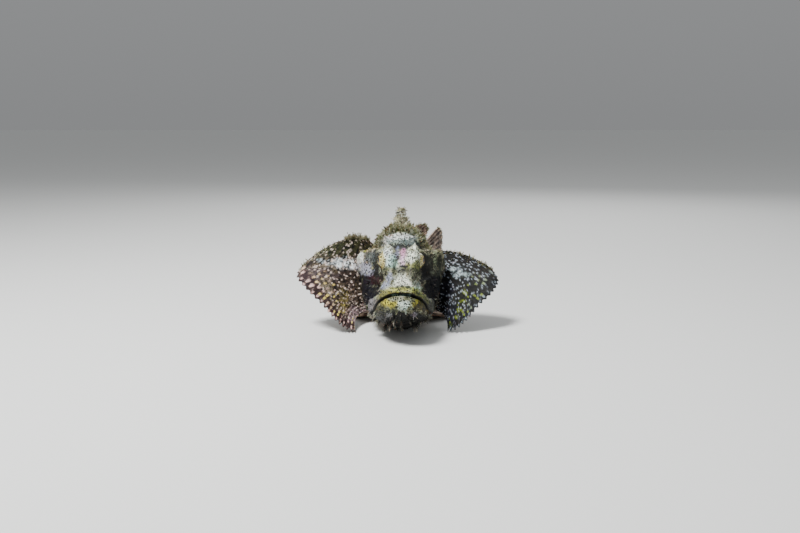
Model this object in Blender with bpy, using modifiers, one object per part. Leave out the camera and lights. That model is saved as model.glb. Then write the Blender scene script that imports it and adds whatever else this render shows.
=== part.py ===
# Papuan scorpionfish, life size, resting on its belly with the pectoral fins spread wide.
# Metres, +Z up. The snout points along -Y, the floor is z = 0.
# The fish is modelled straight, as (side, distance behind the snout tip, height), and
# then the rear of the body is bent to one side as one piece.

import math

import bmesh
import bpy
from mathutils import Matrix, Vector

MM = 0.001
GAP = 0.3 * MM

# Driving sizes of the fish
STANDARD_LENGTH = 150 * MM  # snout tip to the end of the tail base
HEAD_END = 60 * MM
TORSO_END = 108 * MM
CAUDAL_LENGTH = 36 * MM
EYE_RADIUS = 5.0 * MM
EYE_CENTRE = Vector((6.3, 26.2, 38.0)) * MM
TURRET_CENTRE = Vector((5.6, 26.6, 37.6)) * MM
TURRET_RADII = Vector((4.7, 7.4, 7.2)) * MM
MOUTH_FRONT = 25 * MM  # height of the mouth line at the snout tip
MOUTH_SLOPE = 0.62  # fall of the mouth line for each unit towards its corner
MOUTH_CORNER = 20 * MM  # distance of the corner behind the snout tip
MOUTH_OPENING = 1.1 * MM
BEND_START = 62 * MM
BEND_END = 165 * MM
BEND_ANGLE = math.radians(21.5)

# Outline of the body, as (distance behind the snout tip, size), both in millimetres
TOP = ((0, 27.2), (3, 28.8), (8, 30.0), (14, 31.8), (19, 36.0), (24, 39.8), (29, 42.2), (34, 43.6),
       (38, 42.8), (42, 44.4), (47, 48.2), (53, 50.8), (66, 52.4), (80, 50.4), (95, 44.2), (110, 36.5),
       (122, 30.5), (134, 27.6), (150, 28.4))
BOTTOM = ((0, 20.8), (2, 17.2), (6, 13.0), (14, 8.4), (26, 4.2), (38, 1.2), (46, -0.8), (62, -1.6),
          (80, -0.8), (92, 2.2), (104, 6), (118, 9.8), (134, 12.4), (150, 11.8))
HALF_WIDTH = ((0, 2.6), (1.2, 4.7), (3, 6.8), (6, 9.0), (10, 11.0), (15, 12.6), (20, 13.6), (26, 14.6),
              (34, 15.8), (42, 17.2), (52, 18.2), (64, 18.6), (76, 17), (90, 13.2), (104, 9.8), (118, 7),
              (132, 5.2), (150, 3))
WIDEST = ((0, 24.2), (6, 20.8), (14, 17.0), (20, 15.0), (28, 14.6), (36, 16.8), (50, 21), (66, 23),
          (90, 22), (110, 21), (130, 20), (150, 20.1))
RIDGE = ((0, 1.6), (4, 4.0), (10, 5.0), (18, 5.2), (26, 6), (34, 6.5), (42, 6), (52, 4), (70, 3), (100, 2),
         (150, 1.2))
FLARE = ((0, 1.2), (6, 2.2), (12, 3.4), (20, 3.6), (30, 3.2), (38, 3.3), (46, 2.4), (56, 1.6), (66, 1.4),
         (84, 1.1), (150, 1))
RIDGE_ANGLE = math.radians(38)  # how far round the section the flat top reaches
HOLLOWS = ((28, 25.5, 9, 5.5, 4.4), (39, 37, 5.5, 6.5, 3.4))  # cheek and temple: place, height, reach, depth
RING_SIDES = 28
VOXEL = 0.5 * MM  # grain of the blended head
HEAD_FACES = 3600

SKIN = ("skin", (0.34, 0.33, 0.25), 0.7)
FIN = ("fin_skin", (0.36, 0.30, 0.24), 0.6)
EYE = ("eye", (0.30, 0.26, 0.12), 0.2)


def clear_scene():
    for thing in list(bpy.data.objects):
        bpy.data.objects.remove(thing)


def material(look):
    name, colour, roughness = look
    made = bpy.data.materials.get(name)
    if made is None:
        made = bpy.data.materials.new(name)
        made.use_nodes = True
        shader = made.node_tree.nodes["Principled BSDF"]
        shader.inputs["Base Color"].default_value = (*colour, 1)
        shader.inputs["Roughness"].default_value = roughness
        shader.inputs["Metallic"].default_value = 0
    return made


# Curves through the outline's points

def smooth(t):
    t = min(max(t, 0), 1)
    return t * t * (3 - 2 * t)


def mix(a, b, t):
    return a + (b - a) * t


def read(table, s):
    """A smooth curve through a table's points that never overshoots them, in metres."""
    at = s / MM
    if at <= table[0][0]:
        return table[0][1] * MM
    if at >= table[-1][0]:
        return table[-1][1] * MM
    slopes = [(b[1] - a[1]) / (b[0] - a[0]) for a, b in zip(table, table[1:])]
    tangents = [slopes[0]]
    for before, after in zip(slopes, slopes[1:]):
        same_way = before * after > 0
        tangents.append(2 * before * after / (before + after) if same_way else 0)
    tangents.append(slopes[-1])
    k = max(i for i, point in enumerate(table[:-1]) if point[0] <= at)
    (x0, y0), (x1, y1) = table[k], table[k + 1]
    width = x1 - x0
    t = (at - x0) / width
    rise = tangents[k] * width * (t ** 3 - 2 * t * t + t) + tangents[k + 1] * width * (t ** 3 - t * t)
    return (mix(y0, y1, t * t * (3 - 2 * t)) + rise) * MM


def bump(value, centre, reach):
    return math.exp(-((value - centre) / reach) ** 2)


# The body's surface: an angle of 0 is the middle of the back, 180 degrees the belly

def body_point(s, angle, side=1, level=True):
    top, bottom, widest = read(TOP, s), read(BOTTOM, s), read(WIDEST, s)
    half, ridge = read(HALF_WIDTH, s), read(RIDGE, s)
    sine, cosine = max(math.sin(angle), 0), math.cos(angle)
    if cosine > 0:
        flat = ridge * math.sin(min(angle / RIDGE_ANGLE, 1) * math.pi / 2)
        x = flat + (half - ridge) * sine ** (read(FLARE, s) / MM)
        z = widest + (top - widest) * cosine
    else:
        x = half * sine
        z = widest + (widest - bottom) * cosine
    for at, height, long, tall, depth in HOLLOWS:
        x -= depth * MM * bump(s / MM, at, long) * bump(z / MM, height, tall) * sine
    return Vector((side * x, s, max(z, 0) if level else z))


def body_normal(s, angle, side=1):
    step_s, step_a = 0.4 * MM, math.radians(1.5)
    along = body_point(s + step_s, angle, side) - body_point(s - step_s, angle, side)
    round_it = body_point(s, angle + step_a, side) - body_point(s, angle - step_a, side)
    return side * round_it.cross(along).normalized()


def angle_at_height(s, z):
    """The angle round the section where the surface passes a height."""
    low, high = 0, math.pi
    for _ in range(30):
        middle = (low + high) / 2
        if body_point(s, middle).z > z:
            low = middle
        else:
            high = middle
    return low


def mouth_height(s):
    return MOUTH_FRONT - MOUTH_SLOPE * s


# Making, joining and cutting closed meshes

def new_object(name, mesh_or_bmesh, look=SKIN):
    mesh = mesh_or_bmesh
    if isinstance(mesh_or_bmesh, bmesh.types.BMesh):
        mesh = bpy.data.meshes.new(name)
        bmesh.ops.recalc_face_normals(mesh_or_bmesh, faces=mesh_or_bmesh.faces)
        mesh_or_bmesh.to_mesh(mesh)
        mesh_or_bmesh.free()
    made = bpy.data.objects.new(name, mesh)
    bpy.context.scene.collection.objects.link(made)
    mesh.materials.clear()
    mesh.materials.append(material(look))
    return made


def apply_all(thing):
    bpy.context.view_layer.objects.active = thing
    for modifier in list(thing.modifiers):
        bpy.ops.object.modifier_apply(modifier=modifier.name)


def boolean(thing, others, operation):
    group = bpy.data.collections.new("pieces")
    bpy.context.scene.collection.children.link(group)
    for other in others:
        group.objects.link(other)
    modifier = thing.modifiers.new("boolean", "BOOLEAN")
    modifier.operation = operation
    modifier.operand_type = "COLLECTION"
    modifier.collection = group
    modifier.solver = "EXACT"
    apply_all(thing)
    for other in others:
        bpy.data.objects.remove(other)
    bpy.data.collections.remove(group)
    keep_largest(thing)
    return thing


def fuse(thing, pieces):
    return boolean(thing, pieces, "UNION")


def cut(thing, cutters):
    return boolean(thing, cutters, "DIFFERENCE")


def keep_largest(thing):
    """Drops every closed surface but the largest, such as a scrap that a cut leaves."""
    shape = bmesh.new()
    shape.from_mesh(thing.data)
    bmesh.ops.remove_doubles(shape, verts=shape.verts, dist=0.001 * MM)
    left, shells = set(shape.faces), []
    while left:
        found, rim = set(), [left.pop()]
        while rim:
            face = rim.pop()
            found.add(face)
            near = {other for edge in face.edges if len(edge.link_faces) == 2
                    for other in edge.link_faces} & left
            left -= near
            rim.extend(near)
        shells.append(found)
    largest = max(shells, key=lambda shell: sum(face.calc_area() for face in shell))
    stray = [face for face in shape.faces if face not in largest]
    bmesh.ops.delete(shape, geom=stray, context="FACES")
    shape.to_mesh(thing.data)
    shape.free()


def loft(name, start, end, rings, crowd=1.0, grow=0.0, closed_snout=False, level=True):
    """The body's surface between two distances, with flat ends, grown outward if asked."""
    shape = bmesh.new()
    loops = []
    for i in range(rings + 1):
        s = mix(start, end, (i / rings) ** crowd)
        angles = [2 * math.pi * k / RING_SIDES for k in range(RING_SIDES // 2 + 1)]
        points = [body_point(s, angle, level=level) for angle in angles]
        points += [Vector((-p.x, p.y, p.z)) for p in reversed(points[1:-1])]
        loops.append([shape.verts.new(p) for p in points])
    if closed_snout:
        first = [v.co.copy() for v in loops[0]]
        centre = sum(first, Vector()) / len(first)
        tip = [centre + (p - centre) * 0.55 - Vector((0, 0.6 * MM, 0)) for p in first]
        loops.insert(0, [shape.verts.new(p) for p in tip])
    for near, far in zip(loops, loops[1:]):
        for k in range(RING_SIDES):
            after = (k + 1) % RING_SIDES
            shape.faces.new((near[k], near[after], far[after], far[k]))
    shape.faces.new(loops[0])
    shape.faces.new(loops[-1])
    bmesh.ops.remove_doubles(shape, verts=shape.verts, dist=0.001 * MM)
    bmesh.ops.recalc_face_normals(shape, faces=shape.faces)
    shape.normal_update()
    if grow:
        moves = [(v, v.normal.copy()) for v in shape.verts]
        for vertex, normal in moves:
            vertex.co += normal * grow
    return new_object(name, shape)


def ball(centre, radii, turn=None, sides=12, rows=8, roundness=1.0):
    """A ball, or with a roundness under 1 a block with rounded corners."""
    shape = bmesh.new()
    bmesh.ops.create_uvsphere(shape, u_segments=sides, v_segments=rows, radius=1)
    if roundness < 1:
        for vertex in shape.verts:
            vertex.co = [math.copysign(abs(c) ** roundness, c) for c in vertex.co]
    place = Matrix.Translation(centre) @ (turn or Matrix.Identity(4)) @ Matrix.Diagonal((*radii, 1))
    bmesh.ops.transform(shape, matrix=place, verts=shape.verts)
    return new_object("ball", shape)


def aim(root, direction):
    """A matrix that puts +Z along a direction, at a root."""
    return Matrix.Translation(root) @ direction.to_track_quat("Z", "Y").to_matrix().to_4x4()


def spine(root, direction, length, radius, sides=6):
    """A bony spine: a cone whose root is sunk into what it grows from."""
    sunk = 0.35 * length
    shape = bmesh.new()
    bmesh.ops.create_cone(shape, cap_ends=True, segments=sides, radius1=radius,
                          radius2=0.12 * radius, depth=length + sunk)
    bmesh.ops.translate(shape, verts=shape.verts, vec=(0, 0, (length - sunk) / 2))
    bmesh.ops.transform(shape, matrix=aim(root, direction.normalized()), verts=shape.verts)
    return new_object("spine", shape)


def flap(root, direction, length, width, droop=0.0, broad=Vector((0, 1, 0))):
    """A fleshy skin flap: flat, widest a third of the way up, tapering to a soft point."""
    direction = direction.normalized()
    flat = direction.cross(broad)
    if flat.length < 0.2:
        flat = direction.cross(Vector((1, 0, 0)))
    flat.normalize()
    across = flat.cross(direction).normalized()
    shape, rings = bmesh.new(), []
    for share, size in ((-0.35, 0.75), (0.1, 0.9), (0.45, 1), (0.8, 0.6), (1, 0.22)):
        centre = root + direction * (share * length) + Vector((0, 0, -droop * max(share, 0) ** 2))
        half, thick = size * width / 2, mix(0.55, 0.3, max(share, 0)) * MM
        rings.append([shape.verts.new(centre + offset) for offset in
                      (across * half, flat * thick, across * -half, flat * -thick)])
    for near, far in zip(rings, rings[1:]):
        for k in range(4):
            after = (k + 1) % 4
            shape.faces.new((near[k], near[after], far[after], far[k]))
    shape.faces.new(rings[0])
    shape.faces.new(rings[-1])
    return new_object("flap", shape)


def tube(points, radius, bevel_steps=1):
    """A round bar along points, from a bevelled curve, thinner at both ends."""
    curve = bpy.data.curves.new("tube", "CURVE")
    curve.dimensions = "3D"
    curve.bevel_depth = radius
    curve.bevel_resolution = bevel_steps
    curve.use_fill_caps = True
    line = curve.splines.new("POLY")
    line.points.add(len(points) - 1)
    for k, (point, place) in enumerate(zip(line.points, points)):
        point.co = (*place, 1)
        point.radius = mix(0.45, 1, smooth(4 * min(k, len(points) - 1 - k) / len(points)))
    source = bpy.data.objects.new("tube", curve)
    bpy.context.scene.collection.objects.link(source)
    bpy.context.view_layer.update()
    seen = source.evaluated_get(bpy.context.evaluated_depsgraph_get())
    mesh = bpy.data.meshes.new_from_object(seen)
    shape = bmesh.new()
    shape.from_mesh(mesh)
    bmesh.ops.remove_doubles(shape, verts=shape.verts, dist=0.01 * MM)
    bpy.data.objects.remove(source)
    return new_object("tube", shape)


def both_sides(make):
    """Calls a maker for the fish's right side (-1) and left side (1)."""
    return [piece for side in (-1, 1) for piece in make(side)]


def mirrored(vector, side):
    return Vector((side * vector.x, vector.y, vector.z))


# Head, in millimetres behind the snout tip, from the middle and above the floor
BROW_RIDGE = ((3.6, 6, 29.0), (4.3, 11, 30.2), (5.0, 16, 33.6), (5.8, 20.5, 39.6), (6.5, 24.5, 43.4),
              (6.7, 29, 44.0), (6.6, 34, 42.8), (6.4, 39, 41.6), (6.4, 44, 44.0), (6.6, 50, 46.6))
BROW_SPINES = ((20.3, 6.2, 1.7, 0.5), (25.0, 6.8, 1.6, 1.0), (30.0, 6.6, 2.1, 1.1),
               (33.4, 4.2, 2.3, 1.2))  # distance, side, length, backward lean
NAPE_SPINES = ((38.5, 24, 2.4), (44.0, 22, 3.0), (49.5, 36, 2.2), (55.5, 40, 2.2))  # distance, degrees, length
STAY = ((12, 25.0), (41, 26.5))  # bony stay under the eye: distance and height of its two ends
PREOPERCLE = ((36.5, 5.5), (41.0, 28))  # rear edge of the cheek: distance and height of its two ends
RIDGE_STEPS = 8
STAY_SPINES = ((2, 1.8), (4, 1.6), (6, 2.0))  # step along the stay, length
PREOPERCLE_SPINES = ((1, 1.6), (3, 1.9), (4, 2.3), (6, 2.8), (7, 4.2))  # step up the edge, length
JAW_BONE = (Vector((7.4, 4.2, 24.0)), Vector((14.2, 23.0, 15.4)))
FRONT_NOSTRIL = (11, 28.6)
REAR_NOSTRIL = Vector((4.6, 15.6, 32.6)) * MM
LACHRYMAL_SPINES = ((7.5, 24.0), (12.5, 21.6))
HEAD_FLAPS = ((17, 20.5, 3.0), (31, 11.5, 3.4), (35, 17.5, 2.6), (47, 45.5, 3.0))  # distance, height, length
LIP_STEPS = 9
UPPER_LIP = (1.0 * MM, 1.6 * MM)  # height over the mouth line, radius
LOWER_LIP = (-2.3 * MM, 2.1 * MM)


def eye_turret(side):
    return [ball(mirrored(TURRET_CENTRE, side), TURRET_RADII, sides=20, rows=14, roundness=0.86)]


def lid_ring(side):
    axis = eye_axis(side)
    place = mirrored(EYE_CENTRE, side) + axis * (2.5 * MM)
    bpy.ops.mesh.primitive_torus_add(major_radius=4.55 * MM, minor_radius=0.85 * MM,
                                     major_segments=16, minor_segments=5)
    ring = bpy.context.active_object
    ring.data.transform(aim(place, axis))
    return [ring]


def brow_ridge(side):
    """The bony ridge that climbs from the snout, runs over the eye and ends on the nape."""
    return [tube([mirrored(Vector(p) * MM, side) for p in BROW_RIDGE], 1.9 * MM, bevel_steps=2)]


def eye_axis(side):
    return Vector((side, -0.22, 0.12)).normalized()


def brow_spines(side):
    """Preocular, supraocular, postocular and tympanic spines along the top of the orbit."""
    made = []
    for s, x, length, lean in BROW_SPINES:
        offset = Vector((x * MM, s * MM, 0)) - TURRET_CENTRE
        share = 1 - (offset.x / TURRET_RADII.x) ** 2 - (offset.y / TURRET_RADII.y) ** 2
        height = TURRET_CENTRE.z + TURRET_RADII.z * math.sqrt(max(share, 0.02))
        root = Vector((side * x * MM, s * MM, height))
        made.append(spine(root, Vector((side * 0.25, lean, 1)), length * MM, 0.8 * MM))
    return made


def nape_spines(side):
    """Parietal and nuchal spines behind the eyes, and the ridge that carries them."""
    made = []
    for s, degrees, length in NAPE_SPINES:
        angle = math.radians(degrees)
        root = body_point(s * MM, angle, side)
        lean = body_normal(s * MM, angle, side) + Vector((0, 1.1, 0))
        made.append(spine(root, lean, length * MM, 1.0 * MM))
    return made


def stay_places(side):
    """Points along the bony stay under the eye, from the snout back to the preopercle."""
    places = []
    for k in range(RIDGE_STEPS + 1):
        s, z = (mix(a, b, k / RIDGE_STEPS) * MM for a, b in zip(*STAY))
        angle = angle_at_height(s, z)
        places.append(body_point(s, angle, side) - body_normal(s, angle, side) * (0.1 * MM))
    return places


def preopercle_places(side):
    """Points down the curved rear edge of the cheek."""
    places = []
    for k in range(RIDGE_STEPS + 1):
        t = k / RIDGE_STEPS
        s = mix(PREOPERCLE[0][0], PREOPERCLE[1][0], smooth(t)) * MM
        z = mix(PREOPERCLE[0][1], PREOPERCLE[1][1], t) * MM
        angle = angle_at_height(s, z)
        places.append(body_point(s, angle, side) - body_normal(s, angle, side) * (0.4 * MM))
    return places


def cheek_ridges(side):
    return [tube(stay_places(side), 1.5 * MM, bevel_steps=2),
            tube(preopercle_places(side), 1.5 * MM, bevel_steps=2)]


def cheek_spines(side):
    """Spines along the stay, and the preopercle's five, the uppermost the longest."""
    made = []
    places = stay_places(side)
    for k, length in STAY_SPINES:
        out = places[k] + Vector((side * 0.6 * MM, 0, 0))
        made.append(spine(out, Vector((side, 0.9, 0.1)), length * MM, 0.75 * MM))
    places = preopercle_places(side)
    for k, length in PREOPERCLE_SPINES:
        out = places[k] + Vector((side * 0.7 * MM, 0, 0))
        made.append(spine(out, Vector((side * 1.2, 0.7, 0.15)), length * MM, 0.85 * MM))
    return made


def maxilla(side):
    """The jaw bone beside the mouth, a paddle that widens towards its rear end."""
    start, end = (mirrored(p * MM, side) for p in JAW_BONE)
    turn = (end - start).to_track_quat("Y", "Z").to_matrix().to_4x4()
    blade = ball((start + end) / 2, (1.9 * MM, (end - start).length * 0.56, 3.6 * MM), turn)
    paddle = ball(end, (2.0 * MM, 4.2 * MM, 4.6 * MM), turn)
    knob = ball(Vector((side * 5.2, 5.4, 27.0)) * MM, (2.9 * MM, 4.6 * MM, 2.3 * MM))
    return [blade, paddle, knob]


def snout_pieces(side):
    """Lachrymal spines that point down over the jaw, nostril tube and its flap."""
    s, z = (size * MM for size in FRONT_NOSTRIL)
    angle = angle_at_height(s, z)
    root, out = body_point(s, angle, side), body_normal(s, angle, side)
    made = [spine(root, out + Vector((0, 0, 0.4)), 1.3 * MM, 1.0 * MM, 8)]
    made.append(flap(root + Vector((0, 1.0 * MM, 0)), out + Vector((0, 0.2, 0.9)), 3.4 * MM, 1.6 * MM))
    for s, z in LACHRYMAL_SPINES:
        angle = angle_at_height(s * MM, z * MM)
        made.append(spine(body_point(s * MM, angle, side) + Vector((side * 0.8 * MM, 0, 0)),
                          Vector((side * 1.0, 0.25, -0.8)), 2.2 * MM, 0.9 * MM))
    return made


def lip(height_above, radius):
    """A lip along the mouth line, from corner to corner round the snout."""
    places = []
    for k in range(-LIP_STEPS, LIP_STEPS + 1):
        side = -1 if k < 0 else 1
        s = MOUTH_CORNER * (abs(k) / LIP_STEPS) ** 1.7 * 0.97
        angle = angle_at_height(s, mouth_height(s) + height_above)
        place = body_point(s, angle, side)
        if k == 0:
            place = Vector((0, -0.5 * MM, MOUTH_FRONT + height_above))
        places.append(place)
    return tube(places, radius, bevel_steps=2)


def jaw_wedge(name, spread):
    """Everything below the mouth line and ahead of the throat, as a block to cut with."""
    corner = mouth_height(MOUTH_CORNER)
    outline = [(-8 * MM, mouth_height(-8 * MM) + spread), (MOUTH_CORNER, corner + spread * 0.4),
               (MOUTH_CORNER + 2.6 * MM + spread * 0.4, corner - 2.5 * MM),
               (MOUTH_CORNER + 6 * MM + spread * 0.4, -6 * MM), (-8 * MM, -6 * MM)]
    wide = 40 * MM
    shape = bmesh.new()
    near = [shape.verts.new((-wide, s, z)) for s, z in outline]
    far = [shape.verts.new((wide, s, z)) for s, z in outline]
    for k in range(len(outline)):
        after = (k + 1) % len(outline)
        shape.faces.new((near[k], near[after], far[after], far[k]))
    shape.faces.new(near)
    shape.faces.new(far)
    return new_object(name, shape)


def blend(thing, pieces, faces):
    """Melts closed pieces into one soft mass and thins it to about a number of triangles."""
    shape = bmesh.new()
    for piece in [thing] + pieces:
        shape.from_mesh(piece.data)
    shape.to_mesh(thing.data)
    shape.free()
    for piece in pieces:
        bpy.data.objects.remove(piece)
    remesh = thing.modifiers.new("melt", "REMESH")
    remesh.mode = "VOXEL"
    remesh.voxel_size = VOXEL
    soften = thing.modifiers.new("soften", "SMOOTH")
    soften.factor = 0.5
    soften.iterations = 8
    apply_all(thing)
    thin = thing.modifiers.new("thin", "DECIMATE")
    thin.ratio = faces / (2 * len(thing.data.polygons))
    thin.use_collapse_triangulate = True
    apply_all(thing)
    keep_largest(thing)
    return thing


def trim(thing, place, normal):
    """Cuts off what lies beyond a plane and closes the cut with a flat face."""
    shape = bmesh.new()
    shape.from_mesh(thing.data)
    everything = shape.verts[:] + shape.edges[:] + shape.faces[:]
    cut_line = bmesh.ops.bisect_plane(shape, geom=everything, plane_co=place, plane_no=normal,
                                      clear_outer=True)["geom_cut"]
    bmesh.ops.holes_fill(shape, edges=[e for e in cut_line if isinstance(e, bmesh.types.BMEdge)])
    bmesh.ops.triangulate(shape, faces=[f for f in shape.faces if len(f.verts) > 3])
    shape.to_mesh(thing.data)
    shape.free()


def soft_head():
    """Snout, brows, cheeks and lips in one blended mass, from the snout to the gill chamber."""
    whole = loft("head", 0, HEAD_END + 5 * MM, 30, crowd=1.3, closed_snout=True, level=False)
    pieces = both_sides(eye_turret) + both_sides(brow_ridge) + both_sides(cheek_ridges)
    pieces += both_sides(maxilla) + [lip(*UPPER_LIP), lip(*LOWER_LIP)]
    blend(whole, pieces, HEAD_FACES)
    trim(whole, Vector((0, HEAD_END, 0)), Vector((0, 1, 0)))
    trim(whole, Vector(), Vector((0, 0, -1)))
    return whole


def head():
    whole = soft_head()
    pieces = both_sides(lid_ring) + both_sides(brow_spines) + both_sides(nape_spines)
    pieces += both_sides(cheek_spines) + both_sides(snout_pieces) + both_sides(head_flaps)
    fuse(whole, pieces)
    sockets = both_sides(lambda side: [ball(mirrored(EYE_CENTRE, side), [EYE_RADIUS + GAP] * 3,
                                            sides=16, rows=10)])
    nostrils = both_sides(lambda side: [ball(mirrored(REAR_NOSTRIL, side), [0.9 * MM] * 3,
                                             sides=8, rows=6)])
    cut(whole, sockets + nostrils + [jaw_wedge("mouth", MOUTH_OPENING)])
    return whole


def head_flaps(side):
    """Fleshy flaps over the eye, on the cheek's edge and along the preopercle."""
    made = []
    brow = TURRET_CENTRE + Vector((0.6 * MM, -1.0 * MM, TURRET_RADII.z - 0.2 * MM))
    made.append(flap(mirrored(brow, side), Vector((side * 0.5, 0.2, 1)), 3.6 * MM, 1.8 * MM))
    for s, z, length in HEAD_FLAPS:
        angle = angle_at_height(s * MM, z * MM)
        root = body_point(s * MM, angle, side)
        out = body_normal(s * MM, angle, side)
        made.append(flap(root, out + Vector((0, 0.3, -0.25)), length * MM, 2.2 * MM, 0.5 * MM))
    return made


def eye(side):
    """An eyeball with a slightly bulging cornea that looks outward and a little forward."""
    name = "eye_left" if side > 0 else "eye_right"
    globe = ball(mirrored(EYE_CENTRE, side), [EYE_RADIUS] * 3, sides=16, rows=10)
    cornea_place = mirrored(EYE_CENTRE, side) + eye_axis(side) * (1.9 * MM)
    cornea = ball(cornea_place, [3.75 * MM] * 3, aim(Vector(), eye_axis(side)))
    fuse(globe, [cornea])
    globe.name = name
    globe.data.materials.clear()
    globe.data.materials.append(material(EYE))
    return globe


# Lower jaw with the row of tassels on the chin: distance, height, length
CHIN_TASSELS = ((1.6, 18.2, 2.4), (5.0, 14.4, 4.4), (10, 11.4, 5.0), (15, 9.2, 4.8), (20.5, 7.4, 3.8))


def lower_jaw():
    whole = soft_head()
    whole.name = "lower_jaw"
    pieces = []
    for side in (-1, 1):
        for s, z, length in CHIN_TASSELS:
            angle = angle_at_height(s * MM, z * MM)
            out = body_normal(s * MM, angle, side)
            pieces.append(flap(body_point(s * MM, angle, side), out + Vector((0, -0.4, -0.7)),
                               length * MM, 2.0 * MM, 1.0 * MM, Vector((1, 0, 0))))
    fuse(whole, pieces)
    return boolean(whole, [jaw_wedge("jaw_room", 0)], "INTERSECT")


# Gill covers: plates laid over the gill chamber, lifted along their free rear edge
GILL_COLUMNS, GILL_ROWS = 7, 9
GILL_HEIGHTS = (8 * MM, 40.5 * MM)
GILL_FRONT = (40.5 * MM, 44.5 * MM)  # front edge at the foot and at the top
GILL_REACH = (7.5 * MM, 9.8 * MM)  # length at the ends, and what is added between them
GILL_SPINES = (((20.2, 52.5, 34.6), (23.0, 59.5, 36.4)), ((21.2, 52.5, 27.4), (24.2, 59.5, 28.6)))


def gill_cover(side):
    name = "gill_cover_left" if side > 0 else "gill_cover_right"
    shape, outer, inner = bmesh.new(), [], []
    for i in range(GILL_COLUMNS + 1):
        u = i / GILL_COLUMNS
        outer.append([])
        inner.append([])
        for k in range(GILL_ROWS + 1):
            w = k / GILL_ROWS
            front = mix(*GILL_FRONT, smooth(w * 1.4))
            rear = front + GILL_REACH[0] + GILL_REACH[1] * math.sin(math.pi * w ** 1.35) ** 0.8
            s = mix(front, rear, u)
            z = mix(*GILL_HEIGHTS, w)
            angle = angle_at_height(s, z)
            normal = body_normal(s, angle, side)
            surface = body_point(s, angle, side)
            edge = min(u * 3, (1 - u) * 3.5, w * 7, (1 - w) * 7, 1)
            flare = mix(0.6, 5.2, smooth(w * 2.2 - 0.75)) * u ** 1.2
            lift = 2 * GAP + (0.2 + flare) * MM * smooth(min(w * 4, (1 - w) * 6))
            thick = mix(0.6, 2.0, math.sqrt(max(edge, 0))) * MM
            inner[-1].append(shape.verts.new(surface + normal * lift))
            outer[-1].append(shape.verts.new(surface + normal * (lift + thick)))
    for i in range(GILL_COLUMNS):
        for k in range(GILL_ROWS):
            for grid in (outer, inner):
                a, b = grid[i][k], grid[i + 1][k]
                c, d = grid[i + 1][k + 1], grid[i][k + 1]
                shape.faces.new((a, b, c))
                shape.faces.new((a, c, d))
    close_border(shape, outer, inner)
    plate = new_object(name, shape)
    spines = []
    for root, tip in GILL_SPINES:
        start, end = (mirrored(Vector(p) * MM, side) for p in (root, tip))
        spines.append(spine(start, end - start, (end - start).length, 1.15 * MM))
    return fuse(plate, spines)


def close_border(shape, outer, inner):
    """Joins the rims of two matching grids of vertices with quads."""
    def rim(grid):
        return (grid[0] + [row[-1] for row in grid[1:]] + grid[-1][-2::-1]
                + [row[0] for row in reversed(grid[1:-1])])
    outside, inside = rim(outer), rim(inner)
    for k in range(len(outside)):
        after = (k + 1) % len(outside)
        shape.faces.new((outside[k], outside[after], inside[after]))
        shape.faces.new((outside[k], inside[after], inside[k]))


# Torso and tail; flaps as distance, degrees round from the back, length
LOBE_CENTRE = Vector((16.2, 67.0, 17.5)) * MM
LOBE_RADII = (3.6, 3.6, 11.5)
TORSO_FLAPS = ((70, 42, 3.2), (80, 48, 3.6), (90, 54, 3.0), (100, 58, 3.2), (80, 90, 2.6), (94, 100, 2.6))
TAIL_FLAPS = ((114, 62, 2.8), (124, 68, 2.4), (135, 74, 2.4))


def pectoral_lobe(side, grow=0.0):
    """The fleshy base that carries the pectoral fin."""
    turn = Matrix.Rotation(math.radians(-24), 4, "X") @ Matrix.Rotation(side * math.radians(-16), 4, "Y")
    radii = [r * MM + grow for r in LOBE_RADII]
    return ball(mirrored(LOBE_CENTRE, side), radii, turn, sides=12, rows=8)


def body_flaps(side, places):
    made = []
    for s, degrees, length in places:
        angle = math.radians(degrees)
        out = body_normal(s * MM, angle, side) + Vector((0, 0.9, 0))
        made.append(flap(body_point(s * MM, angle, side), out, length * MM, 2.4 * MM))
    return made


def torso():
    whole = loft("torso", HEAD_END + GAP, TORSO_END, 16)
    return fuse(whole, [pectoral_lobe(side) for side in (-1, 1)]
                + both_sides(lambda side: body_flaps(side, TORSO_FLAPS)))


def tail():
    whole = loft("tail", TORSO_END + GAP, STANDARD_LENGTH, 12)
    return fuse(whole, both_sides(lambda side: body_flaps(side, TAIL_FLAPS)))


# Fins: a web between two matching grids, with each ray a ridge in its surface

def curve_point(column, v):
    root, knee, tip = column["root"], column["knee"], column["tip"]
    return root * (1 - v) ** 2 + knee * (2 * v * (1 - v)) + tip * v * v


def fin(name, columns, rows, cutters=()):
    """Columns run from root to tip; each has its own thickness at the root and at the tip."""
    grid = [[curve_point(c, c["reach"] * r / rows) for r in range(rows + 1)] for c in columns]
    shape, front, back = bmesh.new(), [], []
    for i, points in enumerate(grid):
        before, after = grid[max(i - 1, 0)], grid[min(i + 1, len(grid) - 1)]
        front.append([])
        back.append([])
        for r, point in enumerate(points):
            across = after[r] - before[r]
            along = points[min(r + 1, rows)] - points[max(r - 1, 0)]
            normal = across.cross(along).normalized()
            thick = mix(columns[i]["thick"][0], columns[i]["thick"][1], r / rows) / 2
            for face, way in ((front, 1), (back, -1)):
                place = point + normal * (way * thick)
                place.z = max(place.z, 0)
                face[-1].append(shape.verts.new(place))
    for i in range(len(grid) - 1):
        for r in range(rows):
            for face in (front, back):
                a, b, c, d = face[i][r], face[i + 1][r], face[i + 1][r + 1], face[i][r + 1]
                shape.faces.new((a, b, c))
                shape.faces.new((a, c, d))
    close_border(shape, front, back)
    made = new_object(name, shape, FIN)
    return cut(made, list(cutters)) if cutters else made


def body_cutter():
    return loft("cutter", 0, STANDARD_LENGTH, 56, crowd=1.15, grow=GAP, closed_snout=True)


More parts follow.
